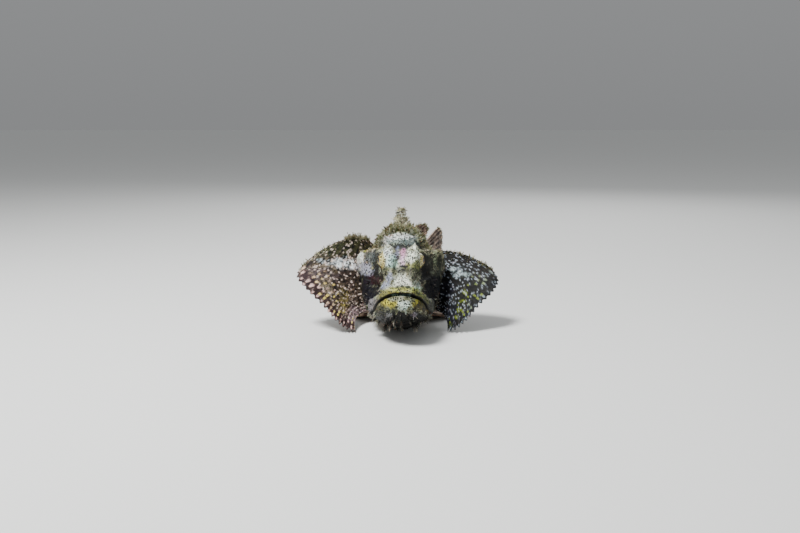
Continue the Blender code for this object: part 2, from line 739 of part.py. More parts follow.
def ray_columns(count, place, ray_thick, web_thick, notch, detail=2):
    """Ray, web, ray, web and so on; place(u) gives root, knee and tip at a share u of the fin."""
    columns = []
    total = detail * (count - 1)
    for i in range(total + 1):
        root, knee, tip = place(i / total)
        is_ray = i % detail == 0
        columns.append({"root": root, "knee": knee, "tip": tip,
                        "reach": 1 if is_ray else 1 - notch(i / total),
                        "thick": ray_thick(i / total) if is_ray else web_thick})
    return columns


# Pectoral fins, in millimetres, right (-1) and left (1): the right one is held higher
PECTORAL_RAYS = 19
PECTORAL_ROOT = (Vector((15.5, 68, 35.5)), Vector((14.2, 59, 6.5)))  # highest and lowest ray
PECTORAL_LIFT = {-1: Vector((-1.9, 0, 4.0)), 1: Vector()}  # added to the root of the highest rays
PECTORAL_RISE = {-1: 0.40, 1: -0.26}  # added to the climb of the highest rays
HIGH_TIPS = {
    -1: ((0, Vector((52.0, 57, 31.0))), (0.16, Vector((54.5, 50, 26.0))), (0.34, Vector((48.5, 42, 20.5)))),
    1: ((0, Vector((48.5, 57, 28.5))), (0.16, Vector((51.0, 50, 24.0))), (0.34, Vector((47.5, 42, 19.5)))),
}
LOW_TIPS = ((0.52, Vector((40.5, 36, 14.0))), (0.70, Vector((34.0, 32, 7.5))),
            (0.86, Vector((28.5, 31, 2.6))), (1, Vector((23.5, 31.5, 0.9))))


def along_path(path, u):
    """A point on a smooth path through (share, point) pairs."""
    k = max(i for i in range(len(path) - 1) if path[i][0] <= u or i == 0)
    before, start, end, after = (path[min(max(k + i, 0), len(path) - 1)][1] for i in (-1, 0, 1, 2))
    t = (u - path[k][0]) / (path[k + 1][0] - path[k][0])
    bend_in, bend_out = (end - before) / 2, (after - start) / 2
    return (start * (2 * t ** 3 - 3 * t * t + 1) + end * (3 * t * t - 2 * t ** 3)
            + bend_in * (t ** 3 - 2 * t * t + t) + bend_out * (t ** 3 - t * t))


def pectoral_place(side, u):
    high = 1 - smooth(u * 3)
    root = PECTORAL_ROOT[0].lerp(PECTORAL_ROOT[1], u) + PECTORAL_LIFT[side] * high
    tip = along_path(HIGH_TIPS[side] + LOW_TIPS, u)
    rise = mix(0.62, 0.10, smooth(u * 1.6)) + PECTORAL_RISE[side] * high
    out = Vector((1, mix(-0.05, -0.35, u), rise)).normalized()
    knee = root + out * (0.44 * (tip - root).length)
    return [mirrored(p * MM, side) for p in (root, knee, tip)]


def pectoral_fin(side):
    name = "pectoral_fin_left" if side > 0 else "pectoral_fin_right"

    def ray_thick(u):
        return (mix(1.5, 1.9, smooth(u * 1.3 - 0.3)) * MM, mix(0.8, 1.3, u) * MM)

    columns = ray_columns(PECTORAL_RAYS, lambda u: pectoral_place(side, u), ray_thick,
                          (0.8 * MM, 0.55 * MM), lambda u: mix(0.03, 0.16, smooth(u * 1.4 - 0.4)))
    return fin(name, columns, 5, [body_cutter(), pectoral_lobe(side, GAP)])


# Dorsal fin: twelve stout spines with the web cut in deeply behind each
DORSAL_SPINES = (8, 12, 14.5, 15.5, 15.5, 15.5, 15, 14, 13, 11.5, 10, 12)
DORSAL_START, DORSAL_STEP = 51 * MM, 4.35 * MM
DORSAL_LEAN = (34, 38)  # degrees above the level, first and last spine
SUNK = 2.2 * MM


def dorsal_spine_place(k):
    s = DORSAL_START + DORSAL_STEP * k
    lean = math.radians(mix(*DORSAL_LEAN, k / (len(DORSAL_SPINES) - 1)))
    root = Vector((0, s, read(TOP, s) - SUNK))
    sway = 0.5 * MM * math.sin(k * 2.1)
    way = Vector((0, math.cos(lean), math.sin(lean)))
    tip = root + way * (DORSAL_SPINES[k] * MM + SUNK) + Vector((sway, 0, 0))
    return root, tip


def spiny_dorsal():
    columns = []
    for k in range(len(DORSAL_SPINES)):
        root, tip = dorsal_spine_place(k)
        aft = Vector((0, 0.85 * MM, 0))
        columns.append(straight_column(root, tip, (2.1 * MM, 0.9 * MM)))
        low = root + (tip - root) * 0.80
        columns.append(straight_column(root + aft, low + aft * 0.9, (0.8 * MM, 0.6 * MM)))
        if k < len(DORSAL_SPINES) - 1:
            next_root, next_tip = dorsal_spine_place(k + 1)
            low = (root + next_root) / 2 + (next_tip - next_root) * 0.60
            columns.append(straight_column((root + next_root) / 2 + aft * 0.3, low, (0.8 * MM, 0.55 * MM)))
            low = next_root + (next_tip - next_root) * 0.70
            columns.append(straight_column(next_root - aft * 0.9, low - aft, (0.8 * MM, 0.6 * MM)))
    return fin("dorsal_fin_spiny", columns, 4, [body_cutter()])


def straight_column(root, tip, thick):
    return {"root": root, "knee": (root + tip) / 2, "tip": tip, "reach": 1, "thick": thick}


def rayed_fan(name, count, roots, tips, bow=0.0, spread=0.0, thick=(1.3, 0.7), notch=0.06, rows=4):
    """A fin in the middle plane; roots and tips are paths of (share, point) pairs in mm."""
    def place(u):
        root, tip = along_path(roots, u) * MM, along_path(tips, u) * MM
        return root, (root + tip) / 2 + Vector((bow, 0, spread * (1 - 2 * u))) * MM, tip

    columns = ray_columns(count, place, lambda u: [t * MM for t in thick], (0.8 * MM, 0.55 * MM),
                          lambda u: notch)
    return fin(name, columns, rows, [body_cutter()])


# Fins of the middle plane, as (share of the fin, place) from the first ray to the last
SOFT_DORSAL_ROOTS = ((0, 102.2), (0.33, 108), (0.66, 114), (1, 121))
SOFT_DORSAL_TIPS = ((0, Vector((4.6, 117, 45.3))), (0.2, Vector((7.8, 126, 45.3))),
                    (0.45, Vector((8.6, 133, 42.3))), (0.7, Vector((7.0, 137.5, 38.5))),
                    (0.88, Vector((4.2, 138, 35.5))), (1, Vector((1.6, 135, 32.8))))
ANAL_ROOTS = ((0, 97), (0.35, 102), (0.7, 108), (1, 114))
ANAL_TIPS = ((0, Vector((-0.5, 102.5, 0.7))), (0.3, Vector((-1.2, 113, 0.7))), (0.55, Vector((-1.6, 124, 0.7))),
             (0.8, Vector((-1.2, 131, 2.6))), (1, Vector((-0.5, 128, 7.0))))
ROOT_DEPTH = 2.2  # how far the roots start inside the body
CAUDAL_MIDDLE, CAUDAL_HALF_ROOT, CAUDAL_HALF_TIP = 20.1, 7.6, 17.6
CAUDAL_STEPS = 6


def soft_dorsal():
    # The fin leans over to the fish's left
    roots = tuple((u, Vector((0, s, read(TOP, s * MM) / MM - ROOT_DEPTH))) for u, s in SOFT_DORSAL_ROOTS)
    return rayed_fan("dorsal_fin_soft", 10, roots, SOFT_DORSAL_TIPS, bow=1.0)


def anal_fin():
    roots = tuple((u, Vector((0, s, read(BOTTOM, s * MM) / MM + ROOT_DEPTH))) for u, s in ANAL_ROOTS)
    return rayed_fan("anal_fin", 8, roots, ANAL_TIPS, bow=-0.8, thick=(1.5, 0.8))


def caudal_fin():
    middle, half_root, half_tip = CAUDAL_MIDDLE, CAUDAL_HALF_ROOT, CAUDAL_HALF_TIP
    start, end = STANDARD_LENGTH / MM - ROOT_DEPTH, (STANDARD_LENGTH + CAUDAL_LENGTH) / MM
    roots = tuple((u, Vector((0, start, middle + half_root * (1 - 2 * u)))) for u in (0, 0.5, 1))
    tips = []
    for k in range(CAUDAL_STEPS + 1):
        u = k / CAUDAL_STEPS
        spread = 1 - 2 * u
        round_off = 8.5 * abs(spread) ** 2.6
        sway = 1.4 * math.sin(spread * 2.6)
        tips.append((u, Vector((sway, end - round_off, middle + half_tip * math.sin(spread * 1.45)))))
    return rayed_fan("caudal_fin", 12, roots, tuple(tips), bow=0.8, spread=2.4, thick=(1.6, 0.7),
                     notch=0.035, rows=5)


def pelvic_fin(side):
    """One spine and five rays, spread back and outward along the floor."""
    name = "pelvic_fin_left" if side > 0 else "pelvic_fin_right"

    def place(u):
        root = Vector((mix(12.4, 8.6, u), mix(55.5, 62.5, u), mix(5.6, 3.2, u)))
        swing = math.radians(mix(38, 74, u))
        length = mix(21, 31, math.sin(math.pi * min(u + 0.12, 1) * 0.8))
        tip = Vector((root.x + length * math.cos(swing), root.y + length * math.sin(swing), 0.9))
        knee = (root + tip) / 2
        knee.z = mix(2.4, 1.6, u)
        return [mirrored(p * MM, side) for p in (root, knee, tip)]

    columns = ray_columns(6, place, lambda u: (mix(2.0, 1.5, u) * MM, 0.9 * MM), (0.8 * MM, 0.6 * MM),
                          lambda u: 0.12)
    return fin(name, columns, 4, [body_cutter()])


# Pose: the rear of the body swings to one side, and the whole is centred over the origin

LINE_LENGTH = 200


def bend_table():
    """Middle line of the bent body: place and heading for each millimetre."""
    x, y, line = 0.0, 0.0, []
    for k in range(LINE_LENGTH):
        turn = BEND_ANGLE * smooth((k * MM - BEND_START) / (BEND_END - BEND_START))
        line.append((x, y, turn))
        x += math.sin(turn) * MM
        y += math.cos(turn) * MM
    return line


def bend(point, line):
    if point.y <= 0:
        return point
    k = min(int(point.y / MM), len(line) - 2)
    t = point.y / MM - k
    x, y, turn = (mix(a, b, t) for a, b in zip(line[k], line[k + 1]))
    return Vector((x + point.x * math.cos(turn), y - point.x * math.sin(turn), point.z))


def pose(nodes):
    line = bend_table()
    low, high = Vector((1, 1, 1)), Vector((-1, -1, -1))
    for node in nodes:
        for vertex in node.data.vertices:
            vertex.co = bend(vertex.co, line)
            low = Vector(map(min, low, vertex.co))
            high = Vector(map(max, high, vertex.co))
    centre = Matrix.Translation((-(low.x + high.x) / 2, -(low.y + high.y) / 2, 0))
    for node in nodes:
        node.data.transform(centre)


def build():
    clear_scene()
    nodes = [lower_jaw(), head(), torso(), tail(), spiny_dorsal(), soft_dorsal(), anal_fin(), caudal_fin()]
    for side in (-1, 1):
        nodes += [eye(side), gill_cover(side), pectoral_fin(side), pelvic_fin(side)]
    pose(nodes)
    fish = bpy.data.collections.new("papuan_scorpionfish")
    bpy.context.scene.collection.children.link(fish)
    for node in nodes:
        bpy.context.scene.collection.objects.unlink(node)
        fish.objects.link(node)
        node.data.shade_smooth()
        node.data.set_sharp_from_angle(angle=math.radians(50))


build()
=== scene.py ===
# Papuan scorpionfish at life size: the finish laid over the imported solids.
# The fish is modelled straight and in millimetres, as (side, distance behind the snout tip, height),
# and each finished piece is then bent and scaled into the frame by intoFrame().
import math
import bpy
import numpy as np
from mathutils import Matrix, Vector, noise
from mathutils.bvhtree import BVHTree


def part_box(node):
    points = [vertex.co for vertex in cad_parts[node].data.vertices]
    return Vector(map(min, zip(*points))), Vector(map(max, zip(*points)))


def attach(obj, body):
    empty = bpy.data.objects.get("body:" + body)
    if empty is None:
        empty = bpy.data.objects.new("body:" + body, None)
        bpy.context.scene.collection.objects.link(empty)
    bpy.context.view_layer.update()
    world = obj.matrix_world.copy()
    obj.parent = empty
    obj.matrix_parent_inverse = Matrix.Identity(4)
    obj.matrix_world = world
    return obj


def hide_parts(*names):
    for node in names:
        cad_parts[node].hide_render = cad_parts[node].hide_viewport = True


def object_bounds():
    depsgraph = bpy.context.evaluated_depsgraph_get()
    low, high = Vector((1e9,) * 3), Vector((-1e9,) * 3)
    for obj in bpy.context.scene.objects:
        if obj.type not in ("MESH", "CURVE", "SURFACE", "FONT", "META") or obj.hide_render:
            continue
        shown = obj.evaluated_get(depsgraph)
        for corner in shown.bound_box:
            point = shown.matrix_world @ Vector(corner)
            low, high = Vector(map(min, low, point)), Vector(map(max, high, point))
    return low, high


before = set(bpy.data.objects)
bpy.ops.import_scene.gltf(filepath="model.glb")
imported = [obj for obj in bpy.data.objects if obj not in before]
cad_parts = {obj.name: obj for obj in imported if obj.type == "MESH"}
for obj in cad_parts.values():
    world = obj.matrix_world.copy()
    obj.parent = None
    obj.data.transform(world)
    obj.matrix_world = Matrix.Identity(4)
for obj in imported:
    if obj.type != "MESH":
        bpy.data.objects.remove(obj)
cadLow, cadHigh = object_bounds()
bpy.ops.object.select_all(action="DESELECT")
mm = 0.001
rng = np.random.default_rng(41)
print("frame loaded")


# small helpers

def mix(a, b, t):
    return a + (b - a) * t


def smooth(t):
    t = min(max(t, 0.0), 1.0)
    return t * t * (3 - 2 * t)


def smoothArray(t):
    t = np.clip(t, 0, 1)
    return t * t * (3 - 2 * t)


def linear(hexColour):
    raw = [int(hexColour[i:i + 2], 16) / 255 for i in (1, 3, 5)]
    return [c / 12.92 if c <= 0.04045 else ((c + 0.055) / 1.055) ** 2.4 for c in raw]


def vary(low, high):
    return float(rng.uniform(low, high))


def sideWord(side):
    return "left" if side > 0 else "right"


def selectOnly(piece):
    bpy.ops.object.select_all(action="DESELECT")
    piece.select_set(True)
    bpy.context.view_layer.objects.active = piece


def meshPiece(name, points, faces):
    # worked-out vertices and faces as one piece, its faces turned outwards
    mesh = bpy.data.meshes.new(name)
    mesh.from_pydata(points, [], faces)
    piece = bpy.data.objects.new(name, mesh)
    bpy.context.scene.collection.objects.link(piece)
    selectOnly(piece)
    bpy.ops.object.mode_set(mode="EDIT")
    bpy.ops.mesh.select_all(action="SELECT")
    bpy.ops.mesh.normals_make_consistent(inside=False)
    bpy.ops.object.mode_set(mode="OBJECT")
    return piece


def applyAll(piece):
    bpy.context.view_layer.objects.active = piece
    for modifier in list(piece.modifiers):
        bpy.ops.object.modifier_apply(modifier=modifier.name)


def remove(pieces):
    for piece in pieces:
        bpy.data.objects.remove(piece)


def coordinates(mesh):
    flat = np.zeros(len(mesh.vertices) * 3, np.float32)
    mesh.vertices.foreach_get("co", flat)
    return flat.reshape(-1, 3).astype(float)


def setCoordinates(mesh, places):
    mesh.vertices.foreach_set("co", places.astype(np.float32).ravel())
    mesh.update()


# the body's outline, as (distance behind the snout tip, size)
bodyShape = {
    "top": ((0, 27.2), (3, 28.8), (8, 30.0), (14, 31.8), (19, 36.0), (24, 39.8), (29, 42.2), (34, 43.6),
            (38, 42.8), (42, 44.4), (47, 48.2), (53, 50.8), (66, 52.4), (80, 50.4), (95, 44.2),
            (110, 36.5), (122, 30.5), (134, 27.6), (150, 28.4)),
    "bottom": ((0, 20.8), (2, 17.2), (6, 13.0), (14, 8.4), (26, 4.2), (38, 1.2), (46, -0.8), (62, -1.6),
               (80, -0.8), (92, 2.2), (104, 6), (118, 9.8), (134, 12.4), (150, 11.8)),
    "half": ((0, 2.6), (1.2, 4.7), (3, 6.8), (6, 9.0), (10, 11.0), (15, 12.6), (20, 13.6), (26, 14.6),
             (34, 15.8), (42, 17.2), (52, 18.2), (64, 18.6), (76, 17), (90, 13.2), (104, 9.8), (118, 7),
             (132, 5.2), (150, 3)),
    "widest": ((0, 24.2), (6, 20.8), (14, 17.0), (20, 15.0), (28, 14.6), (36, 16.8), (50, 21), (66, 23),
               (90, 22), (110, 21), (130, 20), (150, 20.1)),
    "ridge": ((0, 1.6), (4, 4.0), (10, 5.0), (18, 5.2), (26, 6), (34, 6.5), (42, 6), (52, 4), (70, 3),
              (100, 2), (150, 1.2)),
    "flare": ((0, 1.2), (6, 2.2), (12, 3.4), (20, 3.6), (30, 3.2), (38, 3.3), (46, 2.4), (56, 1.6),
              (66, 1.4), (84, 1.1), (150, 1)),
    "ridgeAngle": math.radians(38),  # how far round the section the flat back reaches
    "hollows": ((28, 25.5, 9, 5.5, 4.4), (39, 37, 5.5, 6.5, 3.4)),  # cheek, temple: place, reach, depth
    "length": 150,
}
mouth = {"front": 25, "slope": 0.62, "corner": 20, "opening": 1.9, "depth": 2.4}
eyes = {"centre": (6.3, 26.2, 38.0), "radius": 5.0, "turret": (5.6, 26.6, 37.6),
        "turretSize": (4.7, 7.4, 7.2), "look": (1, -0.22, 0.12), "lidRadius": 4.55}
tailBend = {"start": 62, "end": 165, "angle": math.radians(21.5)}
sampleStep = 0.1


def curveValue(table, at):
    # a smooth curve through the points that never overshoots them
    if at <= table[0][0]:
        return table[0][1]
    if at >= table[-1][0]:
        return table[-1][1]
    slopes = [(b[1] - a[1]) / (b[0] - a[0]) for a, b in zip(table, table[1:])]
    tangents = [slopes[0]]
    for before, after in zip(slopes, slopes[1:]):
        tangents.append(2 * before * after / (before + after) if before * after > 0 else 0)
    tangents.append(slopes[-1])
    k = max(i for i, point in enumerate(table[:-1]) if point[0] <= at)
    (x0, y0), (x1, y1) = table[k], table[k + 1]
    t = (at - x0) / (x1 - x0)
    rise = tangents[k] * (t ** 3 - 2 * t * t + t) + tangents[k + 1] * (t ** 3 - t * t)
    return mix(y0, y1, t * t * (3 - 2 * t)) + rise * (x1 - x0)


sampleCount = int(bodyShape["length"] / sampleStep) + 1
samplePlaces = np.arange(sampleCount) * sampleStep
samples = {key: np.array([curveValue(bodyShape[key], at) for at in samplePlaces])
           for key in ("top", "bottom", "half", "widest", "ridge", "flare")}


def read(key, s):
    return float(np.interp(s, samplePlaces, samples[key]))


def bump(value, centre, reach):
    return math.exp(-((value - centre) / reach) ** 2)


def bodyPoint(s, angle, side=1):
    # angle 0 is the middle of the back, pi the belly
    top, bottom, widest = read("top", s), read("bottom", s), read("widest", s)
    half, ridge = read("half", s), read("ridge", s)
    sine, cosine = max(math.sin(angle), 0), math.cos(angle)
    if cosine > 0:
        flat = ridge * math.sin(min(angle / bodyShape["ridgeAngle"], 1) * math.pi / 2)
        x = flat + (half - ridge) * sine ** read("flare", s)
        z = widest + (top - widest) * cosine
    else:
        x = half * sine
        z = widest + (widest - bottom) * cosine
    for at, height, long, tall, depth in bodyShape["hollows"]:
        x -= depth * bump(s, at, long) * bump(z, height, tall) * sine
    return Vector((side * x, s, z))


def bodyNormal(s, angle, side=1):
    along = bodyPoint(s + 0.4, angle, side) - bodyPoint(s - 0.4, angle, side)
    around = bodyPoint(s, angle + 0.026, side) - bodyPoint(s, angle - 0.026, side)
    return side * around.cross(along).normalized()


def angleAtHeight(s, z):
    low, high = 0, math.pi
    for _ in range(24):
        middle = (low + high) / 2
        low, high = (middle, high) if bodyPoint(s, middle).z > z else (low, middle)
    return low


def mouthHeight(s):
    return mouth["front"] - mouth["slope"] * s


# from the straight fish in millimetres to the frame

def bentLine():
    x, y, line = 0.0, 0.0, []
    for k in range(200):
        turn = tailBend["angle"] * smooth((k - tailBend["start"]) / (tailBend["end"] - tailBend["start"]))
        line.append((x, y, turn))
        x += math.sin(turn)
        y += math.cos(turn)
    return np.array(line)


middleLine = bentLine()
headLow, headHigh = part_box("head")
headEnd = 60  # the head's rear face, which the bend doesn't reach
shift = np.array(((headLow.x + headHigh.x) / 2 / mm, headHigh.y / mm - headEnd, 0))


def bent(places):
    places = np.asarray(places, float)
    y = np.clip(places[:, 1], 0, 198.99)
    k = y.astype(int)
    t = (y - k)[:, None]
    line = middleLine[k] * (1 - t) + middleLine[k + 1] * t
    x0, y0, turn = line[:, 0], line[:, 1], line[:, 2]
    moved = np.stack((x0 + places[:, 0] * np.cos(turn), y0 - places[:, 0] * np.sin(turn), places[:, 2]), 1)
    ahead = places[:, 1] <= 0
    moved[ahead] = places[ahead]
    return (moved + shift) * mm


def intoFrame(piece):
    setCoordinates(piece.data, bent(coordinates(piece.data)))
    return piece


# making pieces, in millimetres

def newest(name):
    piece = bpy.context.active_object
    piece.name = name
    piece.data.name = name
    piece.data.transform(piece.matrix_world)
    piece.matrix_world = Matrix.Identity(4)
    return piece


def sheet(name, columns, rows, place):
    # a grid whose corners (u, v) are put on a surface
    bpy.ops.mesh.primitive_grid_add(x_subdivisions=columns, y_subdivisions=rows, size=1, calc_uvs=True)
    piece = newest(name)
    for vertex in piece.data.vertices:
        vertex.co = place(vertex.co.x + 0.5, vertex.co.y + 0.5)
    return piece


def wholeBody(rings, sides):
    def place(u, v):
        s = bodyShape["length"] * u ** 1.25
        angle = 2 * math.pi * v
        return bodyPoint(s, angle, 1) if v <= 0.5 else bodyPoint(s, 2 * math.pi - angle, -1)
    return closedSheet("body", rings, sides, place)


def closedSheet(name, columns, rows, place):
    # a sheet whose edges meet, with its open ends filled
    piece = sheet(name, columns, rows, place)
    bpy.ops.object.mode_set(mode="EDIT")
    bpy.ops.mesh.select_all(action="SELECT")
    bpy.ops.mesh.remove_doubles(threshold=0.001)
    bpy.ops.mesh.select_all(action="DESELECT")
    bpy.ops.mesh.select_non_manifold()
    bpy.ops.mesh.fill_holes(sides=0)
    bpy.ops.mesh.select_all(action="SELECT")
    bpy.ops.mesh.normals_make_consistent(inside=False)
    bpy.ops.object.mode_set(mode="OBJECT")
    return piece


def ball(centre, radii, turn=None, roundness=1.0, sides=32, rows=20):
    bpy.ops.mesh.primitive_uv_sphere_add(segments=sides, ring_count=rows, radius=1)
    piece = newest("ball")
    for vertex in piece.data.vertices:
        vertex.co = [math.copysign(abs(c) ** roundness, c) for c in vertex.co]
    place = Matrix.Translation(centre) @ (turn or Matrix.Identity(4)) @ Matrix.Diagonal((*radii, 1))
    piece.data.transform(place)
    return piece


def tube(points, radius, taper=0.45):
    curve = bpy.data.curves.new("tube", "CURVE")
    curve.dimensions = "3D"
    curve.bevel_depth = radius
    curve.bevel_resolution = 4
    curve.use_fill_caps = True
    line = curve.splines.new("POLY")
    line.points.add(len(points) - 1)
    for k, (point, place) in enumerate(zip(line.points, points)):
        point.co = (*place, 1)
        point.radius = mix(taper, 1, smooth(4 * min(k, len(points) - 1 - k) / len(points)))
    piece = bpy.data.objects.new("tube", curve)
    bpy.context.scene.collection.objects.link(piece)
    selectOnly(piece)
    bpy.ops.object.convert(target="MESH")
    piece = bpy.context.active_object
    bpy.ops.object.mode_set(mode="EDIT")
    bpy.ops.mesh.select_all(action="SELECT")
    bpy.ops.mesh.remove_doubles(threshold=0.001)
    bpy.ops.object.mode_set(mode="OBJECT")
    return piece


def curveBetween(points, k, t):
    # a share t of the way from point k to the next, on a smooth curve through all the points
    before, start, end, after = (points[min(max(k + i, 0), len(points) - 1)] for i in (-1, 0, 1, 2))
    return (start * (2 * t ** 3 - 3 * t * t + 1) + end * (3 * t * t - 2 * t ** 3)
            + (end - before) / 2 * (t ** 3 - 2 * t * t + t) + (after - start) / 2 * (t ** 3 - t * t))


def refined(points, count):
    # a smooth line through given points
    places, last = np.array([tuple(p) for p in points], float), len(points) - 1
    made = []
    for at in np.linspace(0, 1, count):
        k = min(int(at * last), last - 1)
        made.append(Vector(curveBetween(places, k, at * last - k)))
    return made


def mirrored(place, side):
    return Vector((side * place[0], place[1], place[2]))


def joined(pieces, name):
    bpy.ops.object.select_all(action="DESELECT")
    for piece in pieces:
        piece.select_set(True)
    bpy.context.view_layer.objects.active = pieces[0]
    bpy.ops.object.join()
    made = bpy.context.active_object
    made.name = name
    made.data.name = name
    return made


def melt(piece, voxel, rounds):
    remesh = piece.modifiers.new("melt", "REMESH")
    remesh.mode = "VOXEL"
    remesh.voxel_size = voxel
    soften = piece.modifiers.new("soften", "SMOOTH")
    soften.factor = 0.5
    soften.iterations = rounds
    applyAll(piece)
    return piece


# the head's forms

def lookWay(side):
    return mirrored(eyes["look"], side).normalized()


def aimed(place, way):
    return Matrix.Translation(place) @ way.to_track_quat("Z", "Y").to_matrix().to_4x4()


def lidRing(side, radius, thick, out):
    place = mirrored(eyes["centre"], side) + lookWay(side) * out
    bpy.ops.mesh.primitive_torus_add(major_radius=radius, minor_radius=thick, major_segments=48,
                                     minor_segments=12)
    ring = newest("lid")
    ring.data.transform(aimed(place, lookWay(side)))
    return ring


def onBody(s, z, side, sink=0.0):
    angle = angleAtHeight(s, z)
    return bodyPoint(s, angle, side) - bodyNormal(s, angle, side) * sink


def lip(above, radius):
    places = []
    steps = 18
    for k in range(-steps, steps + 1):
        side = -1 if k < 0 else 1
        s = mouth["corner"] * (abs(k) / steps) ** 1.7 * 0.97
        if k == 0:
            places.append(Vector((0, -0.5, mouth["front"] + above)))
        else:
            places.append(onBody(s, mouthHeight(s) + above, side))
    return tube(places, radius)


def cheekStay(share, side):
    # the bony ridge that runs back under the eye
    return onBody(mix(12, 41, share), mix(25.0, 26.5, share), side, 0.1)


def cheekEdge(share, side):
    # the cheek's free rear edge, from its foot up
    return onBody(mix(36.5, 41, smooth(share)), mix(5.5, 28, share), side, 0.4)


napeSpines = ((38.5, 24, 2.6), (44.0, 22, 3.4), (49.5, 36, 2.4), (55.5, 40, 2.4))  # distance, degrees, length


def headForms(side):
    made = [ball(mirrored(eyes["turret"], side), eyes["turretSize"], roundness=0.86)]
    brow = ((3.6, 6, 29.0), (4.3, 11, 30.2), (5.0, 16, 33.6), (5.8, 20.5, 39.6), (6.5, 24.5, 43.4),
            (6.7, 29, 44.0), (6.6, 34, 42.8), (6.4, 39, 41.6), (6.4, 44, 44.0), (6.6, 50, 46.6))
    made.append(tube(refined([mirrored(p, side) for p in brow], 40), 1.9))
    made.append(lidRing(side, eyes["lidRadius"], 0.95, 2.4))
    stay = [cheekStay(k / 12, side) for k in range(13)]
    made.append(tube(refined(stay, 30), 1.5))
    edge = [cheekEdge(k / 12, side) for k in range(13)]
    made.append(tube(refined(edge, 30), 1.5))
    start, end = mirrored((7.4, 4.2, 24.0), side), mirrored((14.2, 23.0, 15.4), side)
    turn = (end - start).to_track_quat("Y", "Z").to_matrix().to_4x4()
    made.append(ball((start + end) / 2, (1.9, (end - start).length * 0.56, 3.6), turn))
    made.append(ball(end, (2.0, 4.2, 4.6), turn))
    made.append(ball(mirrored((5.2, 5.4, 27.0), side), (2.9, 4.6, 2.3)))
    made.append(pectoralLobe(side))
    made.append(gillPlate(side))
    for s, degrees, _ in napeSpines:
        root = bodyPoint(s, math.radians(degrees), side)
        out = bodyNormal(s, math.radians(degrees), side)
        made.append(tube([root - out * 1.5 - Vector((0, 2, 0)), root + out * 0.2, root + out * 1.6
                          + Vector((0, 2.4, 0))], 1.3, taper=0.5))
    return made


def pectoralLobe(side):
    turn = Matrix.Rotation(math.radians(-24), 4, "X") @ Matrix.Rotation(side * math.radians(-16), 4, "Y")
    return ball(mirrored((16.2, 67.0, 17.5), side), (3.6, 3.6, 11.5), turn)


gills = {"low": 8, "high": 40.5, "thick": (0.7, 1.9), "flare": (0.6, 5.2), "columns": 26, "rows": 40}


def gillPlate(side):
    def place(u, v):
        # u runs over the outer face to the free rear edge and back along the inner face
        outer = u < 0.5
        along, w = (2 * u, v) if outer else (2 - 2 * u, v)
        front = mix(40.5, 44.5, smooth(w * 1.4))
        rear = front + 7.5 + 9.8 * max(math.sin(math.pi * w ** 1.35), 0) ** 0.8
        s, z = mix(front, rear, along), mix(gills["low"], gills["high"], w)
        angle = angleAtHeight(s, z)
        edge = max(min(along * 3, (1 - along) * 3.5, w * 7, (1 - w) * 7, 1), 0)
        flare = mix(*gills["flare"], smooth(w * 2.2 - 0.75)) * along ** 1.2
        lift = 0.1 + flare * smooth(min(w * 4, (1 - w) * 6))
        if outer:
            lift += mix(*gills["thick"], math.sqrt(edge))
        return bodyPoint(s, angle, side) + bodyNormal(s, angle, side) * lift
    return closedSheet("gill", gills["columns"] * 2, gills["rows"], place)


def carve(piece, cutters):
    group = bpy.data.collections.new("cutters")
    bpy.context.scene.collection.children.link(group)
    for cutter in cutters:
        group.objects.link(cutter)
    cut = piece.modifiers.new("cut", "BOOLEAN")
    cut.operation = "DIFFERENCE"
    cut.operand_type = "COLLECTION"
    cut.collection = group
    cut.solver = "MANIFOLD"
    applyAll(piece)
    remove(cutters)
    bpy.data.collections.remove(group)


def mouthSlab():
    # the open mouth, a wedge that thins towards its corners
    bpy.ops.mesh.primitive_cube_add(size=1)
    slab = newest("mouthSlab")
    for vertex in slab.data.vertices:
        s = mouth["corner"] + 1 if vertex.co.y > 0 else -8
        gape = mouth["opening"] * (0.62 if vertex.co.y > 0 else 1)
        vertex.co = (80 * vertex.co.x, s, mouthHeight(s) + (gape if vertex.co.z > 0 else 0) - 0.2)
    return slab


def mouthInside():
    # what closes the mouth from within, set back behind the lips
    def place(u, v):
        s = mix(1.2, mouth["corner"] + 4, u)
        angle = 2 * math.pi * v
        side, angle = (1, angle) if v <= 0.5 else (-1, 2 * math.pi - angle)
        point = bodyPoint(s, angle, side)
        middle = Vector((0, s, (read("top", s) + read("bottom", s)) / 2))
        out = point - middle
        return middle + out * max(1 - (mouth["depth"] + 0.9 * (1 - u)) / out.length, 0.1)
    return closedSheet("mouthInside", 24, 48, place)


skin = {"voxel": 0.5, "triangles": 190000, "wartLift": 0.34, "lumpLift": 0.4, "grainLift": 0.34}


def skinForm():
    pieces = [wholeBody(120, 96)] + headForms(-1) + headForms(1)
    pieces += [lip(1.0, 1.6), lip(-2.3, 2.1)]
    body = melt(joined(pieces, "skin"), skin["voxel"], 6)
    cutters = [mouthSlab()]
    for side in (-1, 1):
        cutters.append(ball(mirrored(eyes["centre"], side), [eyes["radius"] + 0.12] * 3, sides=48, rows=32))
        for place in ((4.6, 15.6, 32.6), (3.4, 11.6, 31.4)):
            cutters.append(ball(mirrored(place, side), (0.75, 0.75, 1.6), sides=20, rows=12))
    carve(body, cutters)
    body = melt(joined([body, mouthInside()], "skin"), skin["voxel"] * 0.9, 2)
    return thinRear(body)


